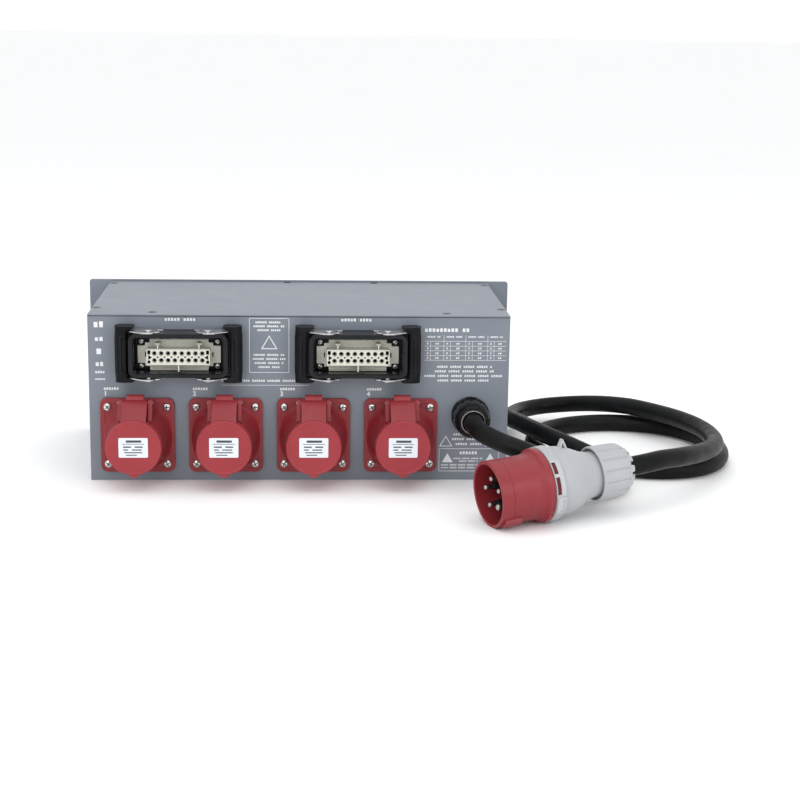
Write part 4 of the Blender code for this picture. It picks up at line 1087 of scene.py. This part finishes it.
def gland_print():
    marks = [triangle(152.6, 36.2, 14.0, 11.8, 0.8), triangle(200.5, 36.2, 14.0, 11.8, 0.8)]
    for z, left, right in ((49.4, 160.5, 188), (44.2, 159, 193), (38.9, 163, 191)):
        marks += dashes(left, right, z, 2.5, word=5)
    marks += frame_lines(145.6, 209.0, 9.2, 34.0)
    marks += dashes(167.5, 186.5, 29.3, 3.2, word=9)
    marks += [triangle(154.6, 19.0, 11.4, 9.8), triangle(199.8, 19.0, 11.4, 9.8)]
    for z, left, right in ((23.2, 161, 192), (20.3, 167, 187), (16.2, 148, 206), (13.2, 148, 206)):
        marks += dashes(left, right, z, 1.5, word=5)
    return marks


def printing():
    marks = socket_print() + panel_print() + table_print() + gland_print()
    piece("socket_side_print", merged(*marks), INK, place=on_rear(0, 0))


# ---------------------------------------------------------------- breakers, lamps and inside

BREAKERS = ("main_breaker", "motor_breaker_1", "motor_breaker_2", "motor_breaker_3", "motor_breaker_4")


def breaker(name, poles):
    """Breaker with pole joints, state windows and marks on its face, and its toggle."""
    low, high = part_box(f"{name}_body")
    refined(f"{name}_body", BREAKER_GREY)
    place = on_front((low.x + high.x) / 2, (low.z + high.z) / 2)
    face = (high.y - PANEL_Y) / MM
    width = (high.x - low.x) / MM
    lines = []
    for k in range(1, poles):
        x = -width / 2 + k * width / poles
        lines += [mark(x, -15.6, 0.35, 12.5, face), mark(x, 15.6, 0.35, 12.5, face)]
    piece(f"{name}_pole_joints", merged(*lines), SHADE_AND_JOINT_BLACK, place=place)
    windows = []
    marks = []
    for k in range(poles):
        x = -width / 2 + (k + 0.5) * width / poles
        windows.append(moved(round_plate(5.4, 2.6, 0.6, 0, 0.14), x, -12.6, face))
        marks += [mark(x, 17.8, 9, 0.9, face), mark(x - 1.5, 15.6, 6, 0.7, face),
                  mark(x, -17.6, 8, 0.9, face)]
    piece(f"{name}_state_windows", merged(*windows), LAMP_RED, place=place)
    piece(f"{name}_face_marks", merged(*marks), LABEL_INK, place=place)
    refined(f"{name}_toggle", BLACK_GRIP, f"{name}_toggle")


def lamp(n):
    """Domed lens in a bright bezel."""
    at = middle(f"phase_lamp_{n}")
    place = on_front(at.x, at.z)
    lens = softened([(0, 6.2), (2.2, 5.9), (4.2, 4.6), (5.4, 2.6), (5.6, 0.4), (5.6, -21), (0, -21)], 0.8)
    piece(f"lamp_{n}_lens", lathe(lens, 48), LAMP_RED, place=place, hides=[f"phase_lamp_{n}"])
    bezel = turned([(5.7, 0.3), (5.7, 2.2), (6.3, 2.8), (7.3, 2.2), (7.9, 0.9), (7.9, 0.3)], 0.4, 3, 48)
    piece(f"lamp_{n}_bezel", bezel, ZINC, place=place)


def front_print():
    """Plain captions over the breakers, and the numerals of the motor breakers and lamps."""
    marks = []
    for n, name in enumerate(BREAKERS):
        x = -middle(f"{name}_body").x / MM
        marks += [moved(dash, x) for dash in dashes(-9, 9, 124, 3.0, word=9)]
        if n:
            marks.append(numeral(n, x, 131.5, 7.5))
    for n in (1, 2, 3):
        at = middle(f"phase_lamp_{n}") / MM
        marks.append(numeral(n, -at.x - 14, at.z, 6.0))
    marks += frame_lines(-150, 150, 60, 136, 0.5)
    piece("breaker_side_print", merged(*marks), INK, place=on_front(0, 0))


def front():
    for name in BREAKERS:
        breaker(name, 4 if name == "main_breaker" else 3)
    for n in (1, 2, 3):
        lamp(n)
    front_print()


def inside():
    """What the case hides: the rail, the terminal block with its screws and the gland's lock nut."""
    refined("din_rail", ZINC, bevel=0.25)
    refined("incoming_terminal_block", GREY_PLASTIC)
    refined("gland_lock_nut", BLACK_GLOSS, bevel=0.4)
    low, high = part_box("incoming_terminal_block")
    spots = [((k - 2) * 11, 0, 0, 20 * k) for k in range(5)]
    top = Matrix.Translation(((low.x + high.x) / 2, (low.y + high.y) / 2, high.z))
    screws("terminal_screws", 3, 1.4, spots, top)


camera()
studio()
cable()
gland()
case()
sockets()
connectors()
printing()
front()
inside()
